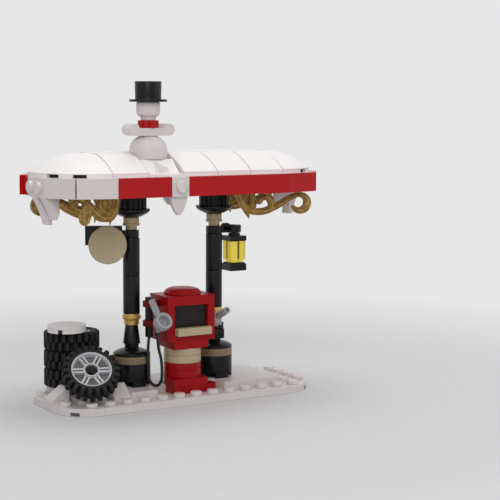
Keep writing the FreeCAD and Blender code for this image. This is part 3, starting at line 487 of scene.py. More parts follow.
# Pieces
def stand_for(node, mesh, rounding, slot_name=None, name=None, look=None):
    """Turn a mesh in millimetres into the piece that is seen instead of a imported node."""
    slot_name = slot_name or SLOT_OF[node]
    bmesh.ops.recalc_face_normals(mesh, faces=mesh.faces)
    bmesh.ops.scale(mesh, vec=(MM, MM, MM), verts=mesh.verts)
    data = bpy.data.meshes.new(name or "seen_" + node)
    mesh.to_mesh(data)
    mesh.free()
    data.polygons.foreach_set("use_smooth", [True] * len(data.polygons))
    data.set_sharp_from_angle(angle=math.radians(SHARP_FROM))
    data.materials.append(materials[look or LOOK_OF.get(node, slot_name)])
    piece = add_object(data.name, data)
    if rounding:
        edges = piece.modifiers.new("edges", "BEVEL")
        edges.width = rounding * MM
        edges.segments = 2
        edges.limit_method = "ANGLE"
        edges.angle_limit = math.radians(ROUNDED_FROM)
        edges.harden_normals = True
    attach(piece, BODY_OF[node])
    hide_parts(node)


def seen_turned(node, outline, places, rounding, steps=TURN_STEPS):
    """One lathe form at each place, standing for a node."""
    mesh = bmesh.new()
    for place in places:
        turned(mesh, soft(outline, rounding), place, steps)
    stand_for(node, mesh, 0)


def seen_turnings(rows, spots):
    """Lathe forms over each spot (x, y), from rows of node, heights, rounding and outline."""
    for node, heights, rounding, outline in rows:
        seen_turned(node, outline, [at(x, y, height) for height in heights for x, y in spots], rounding)


# Base
BASE_FRONT = -24
BASE_DEEP = 48
MIDDLE_HALF = 43.95
END_START = 44
CORNER_ROUND = 16
MIDDLE_STUDS = [(column, row) for column in range(-5, 6) for row in (-2.5, 2.5)]
MIDDLE_STUDS += [(-5, -1.5), (-5, -0.5), (-4, -0.5), (-4, 0.5), (-4, 1.5)]
END_STUDS = [(0.5, 2.5), (0.5, 1.5), (0.5, 0.5), (1.5, 0.5), (1.5, 1.5)]


def base_middle():
    mesh = bmesh.new()
    box(mesh, (-MIDDLE_HALF, BASE_FRONT, 0), (2 * MIDDLE_HALF, BASE_DEEP, PLATE))
    studs(mesh, MIDDLE_STUDS, PLATE)
    stand_for("base_middle", mesh, 0.16)


def base_ends():
    mesh = bmesh.new()
    slot_shade = bmesh.new()
    for half in BOTH_HALVES:
        end_plate(mesh, slot_shade, half @ at(END_START))
    stand_for("base_ends", mesh, 0.16)
    # Painted shade: dark grey blocks at the backs of the slots
    stand_for("base_ends", slot_shade, 0, name="base_slot_painted_shade", look="web_grey")


def end_plate(mesh, slot_shade, pose):
    """An end plate with two round corners, each with a shallow slot under its edge, and a dark grey block at
    the back of each slot as painted shade.
    """
    slot_top, slot_deep, slot_half = 1.5, 14.6, 2
    corner_y = -BASE_FRONT - CORNER_ROUND
    spread = math.degrees(math.asin(slot_half / CORNER_ROUND))
    upper = [(0, BASE_FRONT)] + arc((0, -corner_y), CORNER_ROUND, -90, 0, 24)[1:]
    upper += arc((0, corner_y), CORNER_ROUND, 0, 90, 24)
    lower = [(0, BASE_FRONT)]
    for centre_y, middle in ((-corner_y, -45), (corner_y, 45)):
        lower += arc((0, centre_y), CORNER_ROUND, middle - 45, middle - spread)[int(middle < 0):]
        for side in (-slot_half, slot_half):
            inner = about("Z", middle) @ Vector((slot_deep, side, 0))
            lower.append((inner.x, centre_y + inner.y))
        lower += arc((0, centre_y), CORNER_ROUND, middle + spread, middle + 45)
        box(slot_shade, (slot_deep - 0.2, 0.1 - slot_half, 0.05), (0.4, 2 * slot_half - 0.2, slot_top - 0.07),
            pose @ at(0, centre_y) @ about("Z", middle))
    extruded(mesh, lower, 0, slot_top, pose)
    extruded(mesh, upper, slot_top, PLATE, pose)
    studs(mesh, END_STUDS + [(x, -y) for x, y in END_STUDS], PLATE, pose)


# Columns: lathe forms from the foot up, as node, heights they stand at, rounding and outline (radius, height)
COLUMN_TURNINGS = [
    ("column_rings", [16], 0.25, [(0, 0), (ROUND, 0), (ROUND, PLATE), (0, PLATE)]),
    ("column_dishes", [19.2], 0.25,
     [(0, 0), (ROUND, 0), (ROUND, 1), (6.6, 1.8), (5.1, 2.4), (3.3, 2.8), (3, 3.2), (0, 3.2)]),
    ("column_cones", [22.4], 0.12, [(0, 0), (3, 0), (3, 1.6), (3.7, 1.7), (3.65, 2.2), (2.7, 9.6), (0, 9.6)]),
    ("column_collars", [32], 0.4,
     [(0, 0), (3.1, 0), (3.2, 2.2), (3.9, 2.6), (3.9, 3.9), (3.4, 4.2), (3.4, 4.8), (0, 4.8)]),
    ("column_tubes", [36.8, 52.8], 0.3, [(0, 0), (3.55, 0), (3.55, 15.96), (0, 15.96)]),
    ("column_pins", [68.8], 0.25, [(0, 0), (2.2, 0), (2.2, 3.4), (0, 3.4)]),
    ("column_bushes", [72.2], 0.25,
     [(0, 0), (2.4, 0), (2.4, 1.6), (3.6, 1.7), (3.6, 2.6), (3.3, 2.8), (3.35, 5.2), (0, 5.2)]),
    ("column_head_dishes", [77.4], 0.25,
     [(0, 0), (2.9, 0), (4.2, 0.35), (5.6, 1.0), (7.0, 1.8), (ROUND, 2.7), (ROUND, 3.6), (0, 3.6)]),
]
DRUM_FOOT = 6.4
CAPITAL_FOOT = 81


def columns():
    drums()
    seen_turnings(COLUMN_TURNINGS, COLUMNS)
    capitals()


def drums():
    """Round drums on four feet."""
    half_foot, foot_height, full = 2.95, 2.1, 9.6
    spread = math.degrees(math.asin(half_foot / ROUND))
    cross = []
    for turn in range(0, 360, 90):
        cross += arc((0, 0), ROUND, turn - spread, turn + spread, 8)
        inner = about("Z", turn) @ Vector((half_foot, half_foot, 0))
        cross.append((inner.x, inner.y))
    mesh = bmesh.new()
    for x, y in COLUMNS:
        place = at(x, y, DRUM_FOOT)
        extruded(mesh, cross, 0, foot_height, place)
        rod(mesh, ROUND, foot_height, full, place)
    stand_for("column_drums", mesh, 0.15)


def capitals():
    """Round blocks with upright flutes."""
    flute_step, outer, inner, height = 20, 6.5, 5.8, 9.6
    outline = []
    for middle in range(0, 360, flute_step):
        outline += arc((0, 0), outer, middle - 5.6, middle + 5.6, 3)
        outline += arc((0, 0), inner, middle + 6.6, middle + 13.4, 2)
    mesh = bmesh.new()
    for x, y in COLUMNS:
        extruded(mesh, outline, 0, height, at(x, y, CAPITAL_FOOT))
    stand_for("column_capitals", mesh, 0.15)


# Pump: lathe forms from the foot up, with the same rows as the columns
ROUND_PLATE = [(0, 0), (ROUND, 0), (ROUND, 3.17), (0, 3.17)]
PUMP_TURNINGS = [
    ("pump_drum", [9.6, 12.8], 0.28, ROUND_PLATE),
    ("pump_neck_rings", [16, 19.2], 0.28, ROUND_PLATE),
    ("pump_dome", [44.8], 0.3, [(0, 0), (ROUND, 0), (ROUND, 0.9), (7.5, 1.1), (7.2, 1.7), (6.5, 2.2),
                                (5.3, 2.6), (3.4, 2.85), (0, 2.95)]),
]

# Foot of each bar that holds a nozzle, and heights of the clips on the long one
LONG_BAR = (-15.9, -8, 27.6)
SHORT_BAR = (18.9, -8.3, 24.2)
CLIP_HEIGHTS = (32.1, 40.3)
GRIP_LENGTH = 11.6


def pump():
    seen_turnings(PUMP_TURNINGS, [PUMP])
    pump_foot()
    holder_bars()
    holder_clips()
    nozzle("left_nozzle", heel=(-16.6, -16.9, 31), bell_rise=(0, -1, 2.7), handle=(-0.2, 5.4, 5.8),
           mouth=(0.06, -0.86, 0.5))
    nozzle("right_nozzle", heel=(18.9, -8.3, 30.2), bell_rise=(-1, 0, 2.2), handle=(0.3, -10.4, 5.1),
           mouth=(-0.97, 0, 0.2))


def pump_foot():
    """Two layers with a half-round back on the upper one, and a rounded piece at the right."""
    left, front, wide, deep = -8, -16, 16, 7.9
    seam = 2 * PLATE
    mesh = bmesh.new()
    box(mesh, (left, front, PLATE), (wide, deep, 3.17))
    box(mesh, (left, front, seam), (wide, deep, PLATE))
    extruded(mesh, arc(PUMP, ROUND, 0, 180, 28), seam, 9.58)
    side = [(8, -8.05), (8, -15.95)] + arc((9.6, -12), 3.95, -90, 90, 20)
    extruded(mesh, side, PLATE, seam)
    stand_for("pump_base", mesh, 0.15)


def holder_bars():
    mesh = bmesh.new()
    rod(mesh, 1.6, 0, 16.8, at(*LONG_BAR), 24)
    rod(mesh, 1.35, 0, 4.15, at(*SHORT_BAR), 24)
    box(mesh, (11.2, -9.6, 25.9), (7.7, 2.6, 2.4))
    stand_for("hose_holders", mesh, 0.15)


def holder_clips():
    """Rings round the long bar, each with a block that reaches the cabinet."""
    inner, outer, tall = 1.62, 2.6, 2.6
    x, y, _ = LONG_BAR
    ring = soft([(inner, 0), (outer, 0), (outer, tall), (inner, tall)], 0.2)
    mesh = bmesh.new()
    for height in CLIP_HEIGHTS:
        turned(mesh, ring, at(x, y, height), 32)
        box(mesh, (-14, y - tall / 2, height), (2.8, tall, tall))
    stand_for("holder_clips", mesh, 0.15)


def nozzle(node, heel, bell_rise, handle, mouth):
    """A hollow-ended handle and a flared bell moulded in one, with a dark stub for the hose."""
    heel, bell_rise, mouth = Vector(heel), Vector(bell_rise), Vector(mouth).normalized()
    bell_foot = heel + bell_rise
    neck = bell_rise + mouth * 1.5
    bore_floor = GRIP_LENGTH - 2.9
    grip = [(0, 0), (1.25, 0), (1.45, GRIP_LENGTH / 2), (1.45, GRIP_LENGTH), (0.75, GRIP_LENGTH),
            (0.75, bore_floor), (0, bore_floor)]
    bell = [(0, 0), (2.3, 0), (3.2, 1.1), (3.6, 2.6), (3.6, 5.6), (2.6, 5.6), (2.3, 5), (2.2, 3), (0, 3)]
    mesh = bmesh.new()
    turned(mesh, soft(grip, 0.25), at(*(bell_foot + mouth * 2.4), pointing(handle)), 24)
    turned(mesh, soft(bell, 0.3), at(*bell_foot, pointing(mouth)), 40)
    rod(mesh, 1, 0, neck.length, at(*heel, pointing(neck)), 20)
    stand_for(node, mesh, 0)
    mesh = bmesh.new()
    rod(mesh, 1, -1.8, 1, at(*heel), 20)
    stand_for(node, mesh, 0, "hose_rubber", node + "_stub", "hose_rubber")


# Roof: height of its foot, rise to the ridge, height of the lip and radius of the curve
ROOF_LOW = 95.5
ROOF_RISE = 9.2
ROOF_LIP = 1.7
ROOF_ARC = 40

# Open seam between slopes, the lip's distance from the ridge, and where a half-round end starts
ROOF_SEAM = 0.4
ROOF_REACH = 23.95
ROOF_END = 40.1
FRONT_SLOPES = (-32, 0, 16, 32)
BACK_SLOPES = (-32, -16, 0, 16, 32)

# Carries an outline (x, y) to a plane across the roof
ACROSS = Matrix(((0, 0, 1, 0), (-1, 0, 0, 0), (0, 1, 0, 0), (0, 0, 0, 1)))


def roof_slopes():
    """Curved slopes on both sides of the ridge, with open seams between them."""
    crest = bulged((ROOF_REACH, ROOF_LIP), (8.05, ROOF_RISE - 0.1), ROOF_ARC, 14)
    outline = [(8.05, 0), (ROOF_REACH, 0)] + crest
    half = STUD_PITCH - ROOF_SEAM / 2
    mesh = bmesh.new()
    places = [at(x, 0, ROOF_LOW) for x in FRONT_SLOPES]
    places += [HALF_TURN @ at(x, 0, ROOF_LOW) for x in BACK_SLOPES]
    for place in places:
        extruded(mesh, outline, -half, half, place @ ACROSS)
    stand_for("roof_slopes", mesh, 0.08)


# Corners of the packed snow's front, in millimetres
SNOW = {"left top": (-23.3, -14.5, 102.1), "crest": (-18.9, -14.5, 102.1), "right top": (-8.05, -14.5, 102.1),
        "saddle": (-17.9, -15.8, 101.4), "left foot": (-23.3, -24, 96.5), "valley left": (-20.8, -24, 96.5),
        "hollow": (-14.4, -16.4, 96.6), "valley right": (-14.6, -23.8, 96.5), "edge": (-12.9, -20.2, 98.7),
        "right foot": (-9.9, -24, 96.5), "back left": (-23.3, -14.5, 96.5),
        "back right": (-8.05, -14.5, 96.5)}
SNOW_FACES = [("left top", "crest", "saddle", "valley left", "left foot"),
              ("saddle", "hollow", "valley left"),
              ("valley left", "hollow", "valley right"),
              ("saddle", "edge", "hollow"),
              ("edge", "valley right", "hollow"),
              ("saddle", "crest", "right top", "right foot", "edge"),
              ("edge", "right foot", "valley right"),
              ("left top", "left foot", "back left"),
              ("right top", "back right", "right foot"),
              ("left foot", "valley left", "valley right", "right foot", "back right", "back left"),
              ("left top", "back left", "back right", "right top", "crest")]


def snow_mound():
    """Packed snow under the snowman: a level top, a lip, and an uneven front with one valley."""
    left, wide, top_front, lip_front = -23.95, 15.9, -14.5, -24
    mesh = bmesh.new()
    box(mesh, (left, top_front, ROOF_LOW), (wide, 22.45, 6.6))
    box(mesh, (left, lip_front, ROOF_LOW), (wide, top_front - lip_front, 1))
    corners = {name: mesh.verts.new(place) for name, place in SNOW.items()}
    for face in SNOW_FACES:
        mesh.faces.new([corners[name] for name in face])
    stand_for("snow_mound", mesh, 0.15)


# Angles over which the slots in the lip of a roof end run; a black strip behind them paints the shade in them
LIP_SLOTS = [(-64.7, -51.3), (-37, -23.5), (23.5, 37), (51.3, 64.7)]


def roof_ends():
    """Half-round ends that carry the roof's curve round, with slots in the lip darkened by a black strip
    behind them as painted shade.
    """
    foot, slot_deep = 1.4, 22.3
    crest = bulged((ROOF_REACH, ROOF_LIP), (8, ROOF_RISE - 0.3), ROOF_ARC, 14)
    dome = [(0, foot), (ROOF_REACH, foot)] + crest + [(0, ROOF_RISE)]
    lip = [(slot_deep - 1, 0), (ROOF_REACH, 0), (ROOF_REACH, foot), (slot_deep - 1, foot)]
    back = [(slot_deep - 2, 0.05), (slot_deep, 0.05), (slot_deep, foot), (slot_deep - 2, foot)]
    lip_starts = [-90] + [end for start, end in LIP_SLOTS]
    lip_ends = [start for start, end in LIP_SLOTS] + [90]
    mesh = bmesh.new()
    dark = bmesh.new()
    for half in BOTH_HALVES:
        pose = half @ at(ROOF_END, 0, ROOF_LOW)
        half_turned(mesh, dome, pose, -90, 90, 56)
        for start, end in zip(lip_starts, lip_ends):
            half_turned(mesh, lip, pose, start, end, 10)
        half_turned(dark, back, pose, -88, 88, 40)
    stand_for("roof_ends", mesh, 0)
    # Painted shade: a black strip behind the lip slots
    stand_for("roof_ends", dark, 0, "black", "roof_slot_painted_shade", "black")


# Icicles: plates on edge round the canopy, from FASCIA_LOW up, each with a stud outwards
FASCIA_LOW = 87.5
FASCIA_TALL = 8
FASCIA_STUD = 91.5


def teeth():
    """A plate on edge with a pointed icicle below, on each side."""
    left, front = -15.95, -28.8
    outline = [(3.8, 0)] + bulged((-3.8, 0), (-0.4, -7.8), 13)
    outline += bulged((0.4, -7.8), (3.8, 0), 13)[:-1]
    mesh = bmesh.new()
    for half in BOTH_HALVES:
        box(mesh, (left, front, FASCIA_LOW), (7.9, PLATE, FASCIA_TALL), half)
        stud(mesh, half @ at(-12, front, FASCIA_STUD, about("X", 90)))
        extruded(mesh, outline, -1.4, 1.1, half @ at(-11.7, -25.9, FASCIA_LOW + 0.05, about("X", 90)))
    stand_for("fascia_tooth", mesh, 0.3)


# The two claws of an end: the plate's near side, the claw's near side and width, and its tip (x, z)
CLAWS = [(-4.25, -4.2, 5.4, [(-57.5, 76), (-59.6, 76)]), (-12.35, -12.3, 4.6, [(-58.9, 78.6), (-60.2, 78.6)])]


def claws():
    """Two plates on edge at each end, each with a claw that curls in under the roof."""
    outside, inside, root, heel = -64.6, -61.4, 87.6, -57.8
    mesh = bmesh.new()
    for half in BOTH_HALVES:
        for low, near, width, tip in CLAWS:
            box(mesh, (outside, low, FASCIA_LOW), (PLATE, 7.95, FASCIA_TALL), half)
            stud(mesh, half @ at(outside, low + 3.97, FASCIA_STUD, about("Y", -90)))
            outline = [(inside, root), (inside, 90.5), (heel, 90.5), (heel, 81.5)] + tip
            outline += bulged(tip[1], (outside, root), 30)[1:]
            extruded(mesh, outline, -near - width, -near, half @ about("X", 90))
    stand_for("end_claws", mesh, 0.35)


# Gold scrolls: bands through points (across, up, half width) in an upright plane
RIGHT_SCROLL = {
    "main": [(20.3, 90.4, 1.5), (20.3, 87, 1.6), (21.5, 84, 1.55), (23, 81.9, 1.6), (25.7, 80.1, 1.6),
             (29, 79.3, 1.55), (32.2, 79.3, 1.55), (35.7, 80.1, 1.55), (40.7, 82.1, 1.5), (43.7, 83.6, 1.35),
             (47.2, 85.2, 1.2), (50, 85.8, 1.1), (52.7, 85.4, 1.3), (54.6, 83.8, 1.6), (54.9, 81.7, 1.9),
             (54, 80, 1.8), (51.6, 79, 1.55), (49.4, 79.3, 1.3), (47.7, 80.6, 0.8)],
    "spike": [(23.8, 80.2, 1.1), (24.9, 78.2, 0.7), (25.4, 76.7, 0.25)],
    "curl": [(36.5, 80.6, 1.1), (36.5, 82.2, 1.4), (36.2, 83.8, 1.7), (35, 85.2, 1.7), (33, 85.6, 1.6),
             (31.2, 85, 1.5), (30.6, 83.6, 1.4)],
    "inner": [(26.6, 90.4, 1.0), (26.9, 86.8, 1.1), (26.7, 84, 1.2), (25.9, 81.4, 1.0)],
    "stem": [(34.2, 90.4, 1.1), (34.2, 86, 1.2)],
}
LEFT_SCROLL = {
    "band": [(-58.6, 84.4, 1.2), (-57, 83.4, 1.4), (-54.7, 82.1, 1.35), (-51.5, 80.8, 1.45),
             (-49.6, 80.2, 1.2)],
    "root": [(-54.6, 90.4, 1.0), (-54.6, 84.2, 1.0)],
    "top": [(-54.4, 87.2, 1.3), (-50.6, 86.8, 1.6), (-48.2, 85.6, 1.5), (-45.9, 83.4, 1.6), (-44, 81.3, 1.8),
            (-42, 79.6, 1.9), (-39.8, 78.9, 1.6), (-37.4, 79.3, 1.7), (-35.7, 81.2, 1.5), (-34.8, 84, 1.3),
            (-34.5, 87, 1.3), (-34.5, 90.4, 1.3)],
    "curl": [(-38.6, 80.8, 1.4), (-41.4, 82.7, 1.5), (-42.4, 85.2, 1.4), (-41.2, 87.4, 1.4), (-38.8, 87, 1.4),
             (-37.6, 85, 1.3), (-38.4, 83.4, 1.0)],
    "petal": [(-48.4, 84.4, 1.5), (-48.6, 82.4, 2.5), (-48.7, 80, 2.9), (-48.8, 78.6, 2.4)],
    "small spike": [(-44.1, 79.4, 0.6), (-44.4, 77.4, 0.2)],
    "spike": [(-37.4, 78.4, 0.8), (-37.7, 76.3, 0.2)],
}

# Thin leaves between the bands of the left scroll, as outlines (across, up)
LEFT_LEAVES = [[(-55.6, 90.4), (-55.6, 84.6), (-53.4, 84.9), (-52.6, 86), (-47, 85.9), (-46, 90.4)],
               [(-54.4, 84.6), (-54, 82), (-50.6, 81), (-50.6, 83), (-52.2, 83.4)],
               [(-43.2, 90.4), (-43.6, 86), (-42.8, 82.6), (-40, 79.8), (-37, 80), (-35.2, 84),
                (-34.8, 90.4)]]

# Node, depth of the plane from the middle, bands and leaves
SCROLLS = [("scrolls_right", -20, RIGHT_SCROLL, []), ("scrolls_left", -16, LEFT_SCROLL, LEFT_LEAVES)]

# A band's cut, as shares of its half width and depth: a quarter from the rim to the ridge, and then all round
BAND_QUARTER = [(1, 0), (0.95, 0.5), (0.8, 0.86), (0.52, 0.5), (0.26, 0.96), (0, 1.06)]
BAND_HALF = BAND_QUARTER + [(-u, v) for u, v in BAND_QUARTER[-2::-1]]
BAND_CUT = BAND_HALF + [(u, -v) for u, v in BAND_HALF[-2:0:-1]]
BAND_DEPTH = 1.2
CAP_ANGLES = (30, 60, 85)
LINE_STEPS = 7


def smooth_line(points):
    """Points along a smooth line through the given ones."""
    given = [Vector(point) for point in points]
    padded = [given[0] * 2 - given[1]] + given + [given[-1] * 2 - given[-2]]
    line = []
    for before, start, end, after in zip(padded, padded[1:], padded[2:], padded[3:]):
        for step in range(LINE_STEPS):
            t = step / LINE_STEPS
            slope = (end - before) * t
            square = (2 * before - 5 * start + 4 * end - after) * t ** 2
            cube = (3 * start - before - 3 * end + after) * t ** 3
            line.append(0.5 * (2 * start + slope + square + cube))
    return line + [given[-1]]


def cap(place, half, along, way):
    """Ever smaller cuts past the end of a band, which close it with a round."""
    cuts = []
    for angle in CAP_ANGLES:
        reach = math.sin(math.radians(angle))
        size = math.cos(math.radians(angle))
        cuts.append((place + along * half * reach * way, half * size, along, size))
    return cuts


def band(mesh, points, pose):
    """A band with a ridge along its middle and a rim on each side, round at both ends."""
    line = smooth_line(points)
    cuts = []
    for before, spot, after in zip(line[:1] + line, line, line[1:] + line[-1:]):
        cuts.append((spot.xy, spot.z, (after - before).xy.normalized(), 1))
    rings = []
    for place, half, along, size in cap(*cuts[0][:3], -1)[::-1] + cuts + cap(*cuts[-1][:3], 1):
        across = Vector((-along.y, along.x))
        depth = BAND_DEPTH * size * min(1, half / size / 1.1)
        spots = [(place + across * half * u, depth * v) for u, v in BAND_CUT]
        rings.append([mesh.verts.new(pose @ Vector((flat.x, out, flat.y))) for flat, out in spots])
    skin(mesh, rings)


def scrolls():
    for node, plane, bands, leaves in SCROLLS:
        mesh = bmesh.new()
        for half in BOTH_HALVES:
            for points in bands.values():
                band(mesh, points, half @ at(0, plane))
            for outline in leaves:
                extruded(mesh, outline, -0.5, 0.5, half @ at(0, plane, 0, about("X", 90)))
        stand_for(node, mesh, 0)


# Snowman: lathe forms with the same rows as the columns
SNOWMAN_TURNINGS = [
    ("snowman_body", [102.1], 0.5, [(0, 0), (ROUND, 0), (ROUND, 3.2), (7.75, 4.7), (7.25, 6.2), (6.4, 7.5),
                                    (5.3, 8.5), (4.2, 9.1), (3.3, 9.5), (2.4, 9.5), (2.4, 11.2), (0, 11.2)]),
    ("snowman_head", [117.9], 0.4, [(0, 0), (3.2, 0), (3.2, 1.4), (4.1, 1.8), (4.7, 2.5), (4.93, 3.4),
                                    (4.93, 7), (4.8, 7.4), (4.3, 7.6), (2.4, 7.6), (2.4, 9.3), (0, 9.3)]),
    ("snowman_hat", [125.5], 0.3, [(2.45, 0), (ROUND, 0), (ROUND, 1.0), (5.55, 1.15), (5.4, 1.5), (5.55, 8.4),
                                   (0, 8.4), (0, 1.8), (2.45, 1.8)]),
]
ARMS_FOOT = 111.6
COLLAR_FOOT = 114.8


def snowman():
    seen_turnings(SNOWMAN_TURNINGS, [SNOWMAN])
    arms()
    collar()


def arms():
    """A plate whose ends roll upwards."""
    half_long, half_wide, roll = 7.9, 3.9, 2.5
    outline = [(-half_long, 0), (half_long, 0)] + arc((half_long, roll), roll, -90, 125, 16)
    outline += [(5.6, PLATE), (-5.6, PLATE)] + arc((-half_long, roll), roll, 55, 270, 16)
    place = at(*SNOWMAN, ARMS_FOOT)
    mesh = bmesh.new()
    extruded(mesh, outline, -half_wide, half_wide, place @ about("X", 90))
    rod(mesh, STUD, PLATE - 0.1, PLATE + STUD_RISE, place, 28)
    stand_for("snowman_arms", mesh, 0.4)


def collar():
    """A ring with eight petals."""
    outline = []
    for petal in range(0, 360, 45):
        centre = about("Z", petal) @ Vector((3.2, 0, 0))
        outline += arc((centre.x, centre.y), 1.3, petal - 85, petal + 85, 8)
    mesh = bmesh.new()
    extruded(mesh, outline, 0, 3.1, at(*SNOWMAN, COLLAR_FOOT))
    stand_for("snowman_collar", mesh, 0.25)


# Sign: its swing about the left column, and the middle of the disc's back before that swing
SIGN_SWING = about("Z", 154.2)
SIGN_MIDDLE = (9.9, 3.7, 66.3)


def sign_disc():
    disc = [(0, 0), (7.95, 0), (7.95, 2.9), (7.7, 3.2), (7.2, 3.2), (7.1, 3.12), (0, 3.12)]
    place = at(*COLUMNS[0]) @ SIGN_SWING @ at(*SIGN_MIDDLE) @ about("X", -90)
    seen_turned("sign_disc", disc, [place], 0.15)


# Lantern: its middle along X, the underside and thickness of its bracket, and the foot of its lens
LANTERN_X = 30.2
BRACKET_LOW = 68.95
BRACKET_THICK = 3.1
LENS_FOOT = 55.8


def lantern_bracket():
    """A ring round the column, an arm with a round eye across it, and the hanging peg."""
    high = BRACKET_LOW + BRACKET_THICK
    ring = [(2.25, BRACKET_LOW), (3.5, BRACKET_LOW), (3.5, high), (2.25, high)]
    mesh = bmesh.new()
    turned(mesh, soft(ring, 0.2), at(*COLUMNS[1]), 40)
    box(mesh, (22.8, -1.6, BRACKET_LOW), (7.4, 3.2, BRACKET_THICK))
    rod(mesh, 3, BRACKET_LOW, high, at(LANTERN_X), 40)
    rod(mesh, 2.1, -1.6, 1.6, at(25.9, 0, 71, about("X", 90)), 32)
    rod(mesh, 1.5, 66, 69.2, at(LANTERN_X), 24)
    stand_for("lantern_arm", mesh, 0.2)


def lantern_lens():
    """A round lobe up each corner of a square core, with dark amber rods in the creases between the lobes as
    painted shade.
    """
    lobe, lobe_low, top = 1.9, 0.9, 9.4
    centre = at(LANTERN_X, 0, LENS_FOOT)
    outline = soft([(0, lobe_low), (2.3, lobe_low), (2.3, top), (0, top)], 0.7)
    mesh = bmesh.new()
    box(mesh, (-2.6, -2.6, 0), (5.2, 5.2, top), centre)
    for x in (-lobe, lobe):
        for y in (-lobe, lobe):
            turned(mesh, outline, centre @ at(x, y), 36)
    stand_for("lantern_lens", mesh, 0)
    # Painted shade: dark rods that darken the creases
    crease_shade = bmesh.new()
    for turn in range(0, 360, 90):
        rod(crease_shade, 0.8, 1.6, 9.1, centre @ about("Z", turn) @ at(3.05), 16)
    stand_for("lantern_lens", crease_shade, 0, name="lens_crease_painted_shade", look="dark_amber")


# Tyres: half their width, and the radii at the foot, shoulder and crown of their tread blocks
TREAD_BLOCKS = 22
TYRE_HALF = 3.85
TREAD_FOOT = 9.1
TREAD_SHOULDER = 11.1
TREAD_CROWN = 11.6
SPARE = at(-46, -14.9, 15.9) @ about("Z", -18) @ about("X", 46)

# Heights of the stacked wheels' middles
STACK_LEVELS = {"lower": 11.1, "middle": 18.9, "upper": 26.7}


def tyre(mesh, pose):
    """A tyre with two rows of tread blocks, one half a step round from the other."""
    near = [(8.15, -3.4), (8.5, -TYRE_HALF), (9.3, -TYRE_HALF), (9.5, -3.6)]
    far = [(radius, -across) for radius, across in near[::-1]]
    turned(mesh, near + far, pose, 66)
    for row, side in enumerate((1, -1)):
        for index in range(TREAD_BLOCKS):
            tread_block(mesh, side, pose @ about("Z", (index + row / 2) * 360 / TREAD_BLOCKS))


def tread_block(mesh, side, pose):
    """A block on one side of the middle, narrower at the crown and slanted at the shoulder."""
    foot_half, crown_half = 0.95, 0.75
    section = [(TREAD_FOOT, 0.05), (TREAD_CROWN, 0.05), (TREAD_CROWN, TYRE_HALF - 0.72),
               (TREAD_SHOULDER, TYRE_HALF - 0.225), (TREAD_FOOT + 0.3, TYRE_HALF), (TREAD_FOOT, TYRE_HALF)]
    rings = []
    for way in (-1, 1):
        ring = []
        for radius, across in section:
            share = (radius - TREAD_FOOT) / (TREAD_CROWN - TREAD_FOOT)
            half = foot_half + (crown_half - foot_half) * share
            ring.append(mesh.verts.new(pose @ Vector((radius, way * half, side * across))))
        rings.append(ring)
    skin(mesh, rings)


# Spoked rim: outlines (radius, height), then the spokes' slot, width, reach and heights
RIM_RING = [(7, -2.9), (7.9, -2.9), (7.9, 2.7), (8.45, 3.3), (8.2, 3.5), (7.7, 3.4), (7.45, 2.9), (7.3, 1.3),
            (7, 1.2)]
RIM_HUB = [(2.6, -2.9), (3.5, -2.9), (3.5, 2.7), (3.3, 3.2), (2.8, 3.2), (2.6, 3)]
HUB_SLEEVE = [(2.4, -2.8), (2.62, -2.8), (2.62, 2.7), (2.4, 2.6)]
SPOKE_STEP = 60
SLOT_HALF = 0.35
SPOKE_WIDTH = 0.85
SPOKE_INNER = 3.4
SPOKE_OUTER = 7.35
SPOKE_TOP = 2.75
WEB_LOW = 0.4
WEB_TOP = 1.3


def spoked_rim(mesh, shaded_webs, pose):
    """A rim with six double spokes; between the doubles a web lies deeper, and slots part each pair. The webs
    and the hub's sleeve are dark grey: painted shade.
    """
    turned(mesh, RIM_RING, pose)
    turned(mesh, soft(RIM_HUB, 0.15), pose, 40)
    # Painted shade: a dark grey sleeve lining the hub's bore
    turned(shaded_webs, HUB_SLEEVE, pose, 40)
    for angle in range(0, 360, SPOKE_STEP):
        turn = pose @ about("Z", angle)
        for near in (-SLOT_HALF - SPOKE_WIDTH, SLOT_HALF):
            box(mesh, (SPOKE_INNER - 0.1, near, WEB_LOW),
                (SPOKE_OUTER - SPOKE_INNER + 0.2, SPOKE_WIDTH, SPOKE_TOP - WEB_LOW), turn)
        sunk_web(shaded_webs, turn)


def sunk_web(shaded_webs, pose):
    """The web between two double spokes, with a short rib across it, both in the mesh that is painted dark
    grey as shade.
    """
    tight = math.degrees(math.asin(SLOT_HALF / SPOKE_INNER))
    wide = math.degrees(math.asin(SLOT_HALF / SPOKE_OUTER))
    outline = arc((0, 0), SPOKE_OUTER, wide, SPOKE_STEP - wide, 10)
    outline += arc((0, 0), SPOKE_INNER, SPOKE_STEP - tight, tight, 6)
    extruded(shaded_webs, outline, WEB_LOW, WEB_TOP, pose)
    rib = arc((0, 0), 5.3, 26, 34, 3) + arc((0, 0), 4.6, 35, 25, 3)
    extruded(shaded_webs, rib, WEB_TOP, WEB_TOP + 0.5, pose)


def seen_tyre(node, pose):
    mesh = bmesh.new()
    tyre(mesh, pose)
    stand_for(node, mesh, 0.14)


def spare_wheel():
    seen_tyre("spare_tyre", SPARE)
    mesh = bmesh.new()
    shaded_webs = bmesh.new()
    spoked_rim(mesh, shaded_webs, SPARE)
    stand_for("spare_rim", mesh, 0.1)
    # Painted shade: the webs and sleeve take the dark grey
    stand_for("spare_rim", shaded_webs, 0.1, name="rim_webs_painted_shade", look="web_grey")


def stacked_wheels():
    """Wheels with a plain web, lying on each other."""
    rim = [(7, -2.9), (7.9, -2.9), (7.9, 3.3), (7, 3.4), (7, 2.7), (2.5, 2.7), (2.5, 1.2), (7, 1.2)]
    for level, height in STACK_LEVELS.items():
        place = at(*STACK, height)
        seen_tyre("stack_tyre_" + level, place)
        seen_turned("stack_rim_" + level, rim, [place], 0.1)


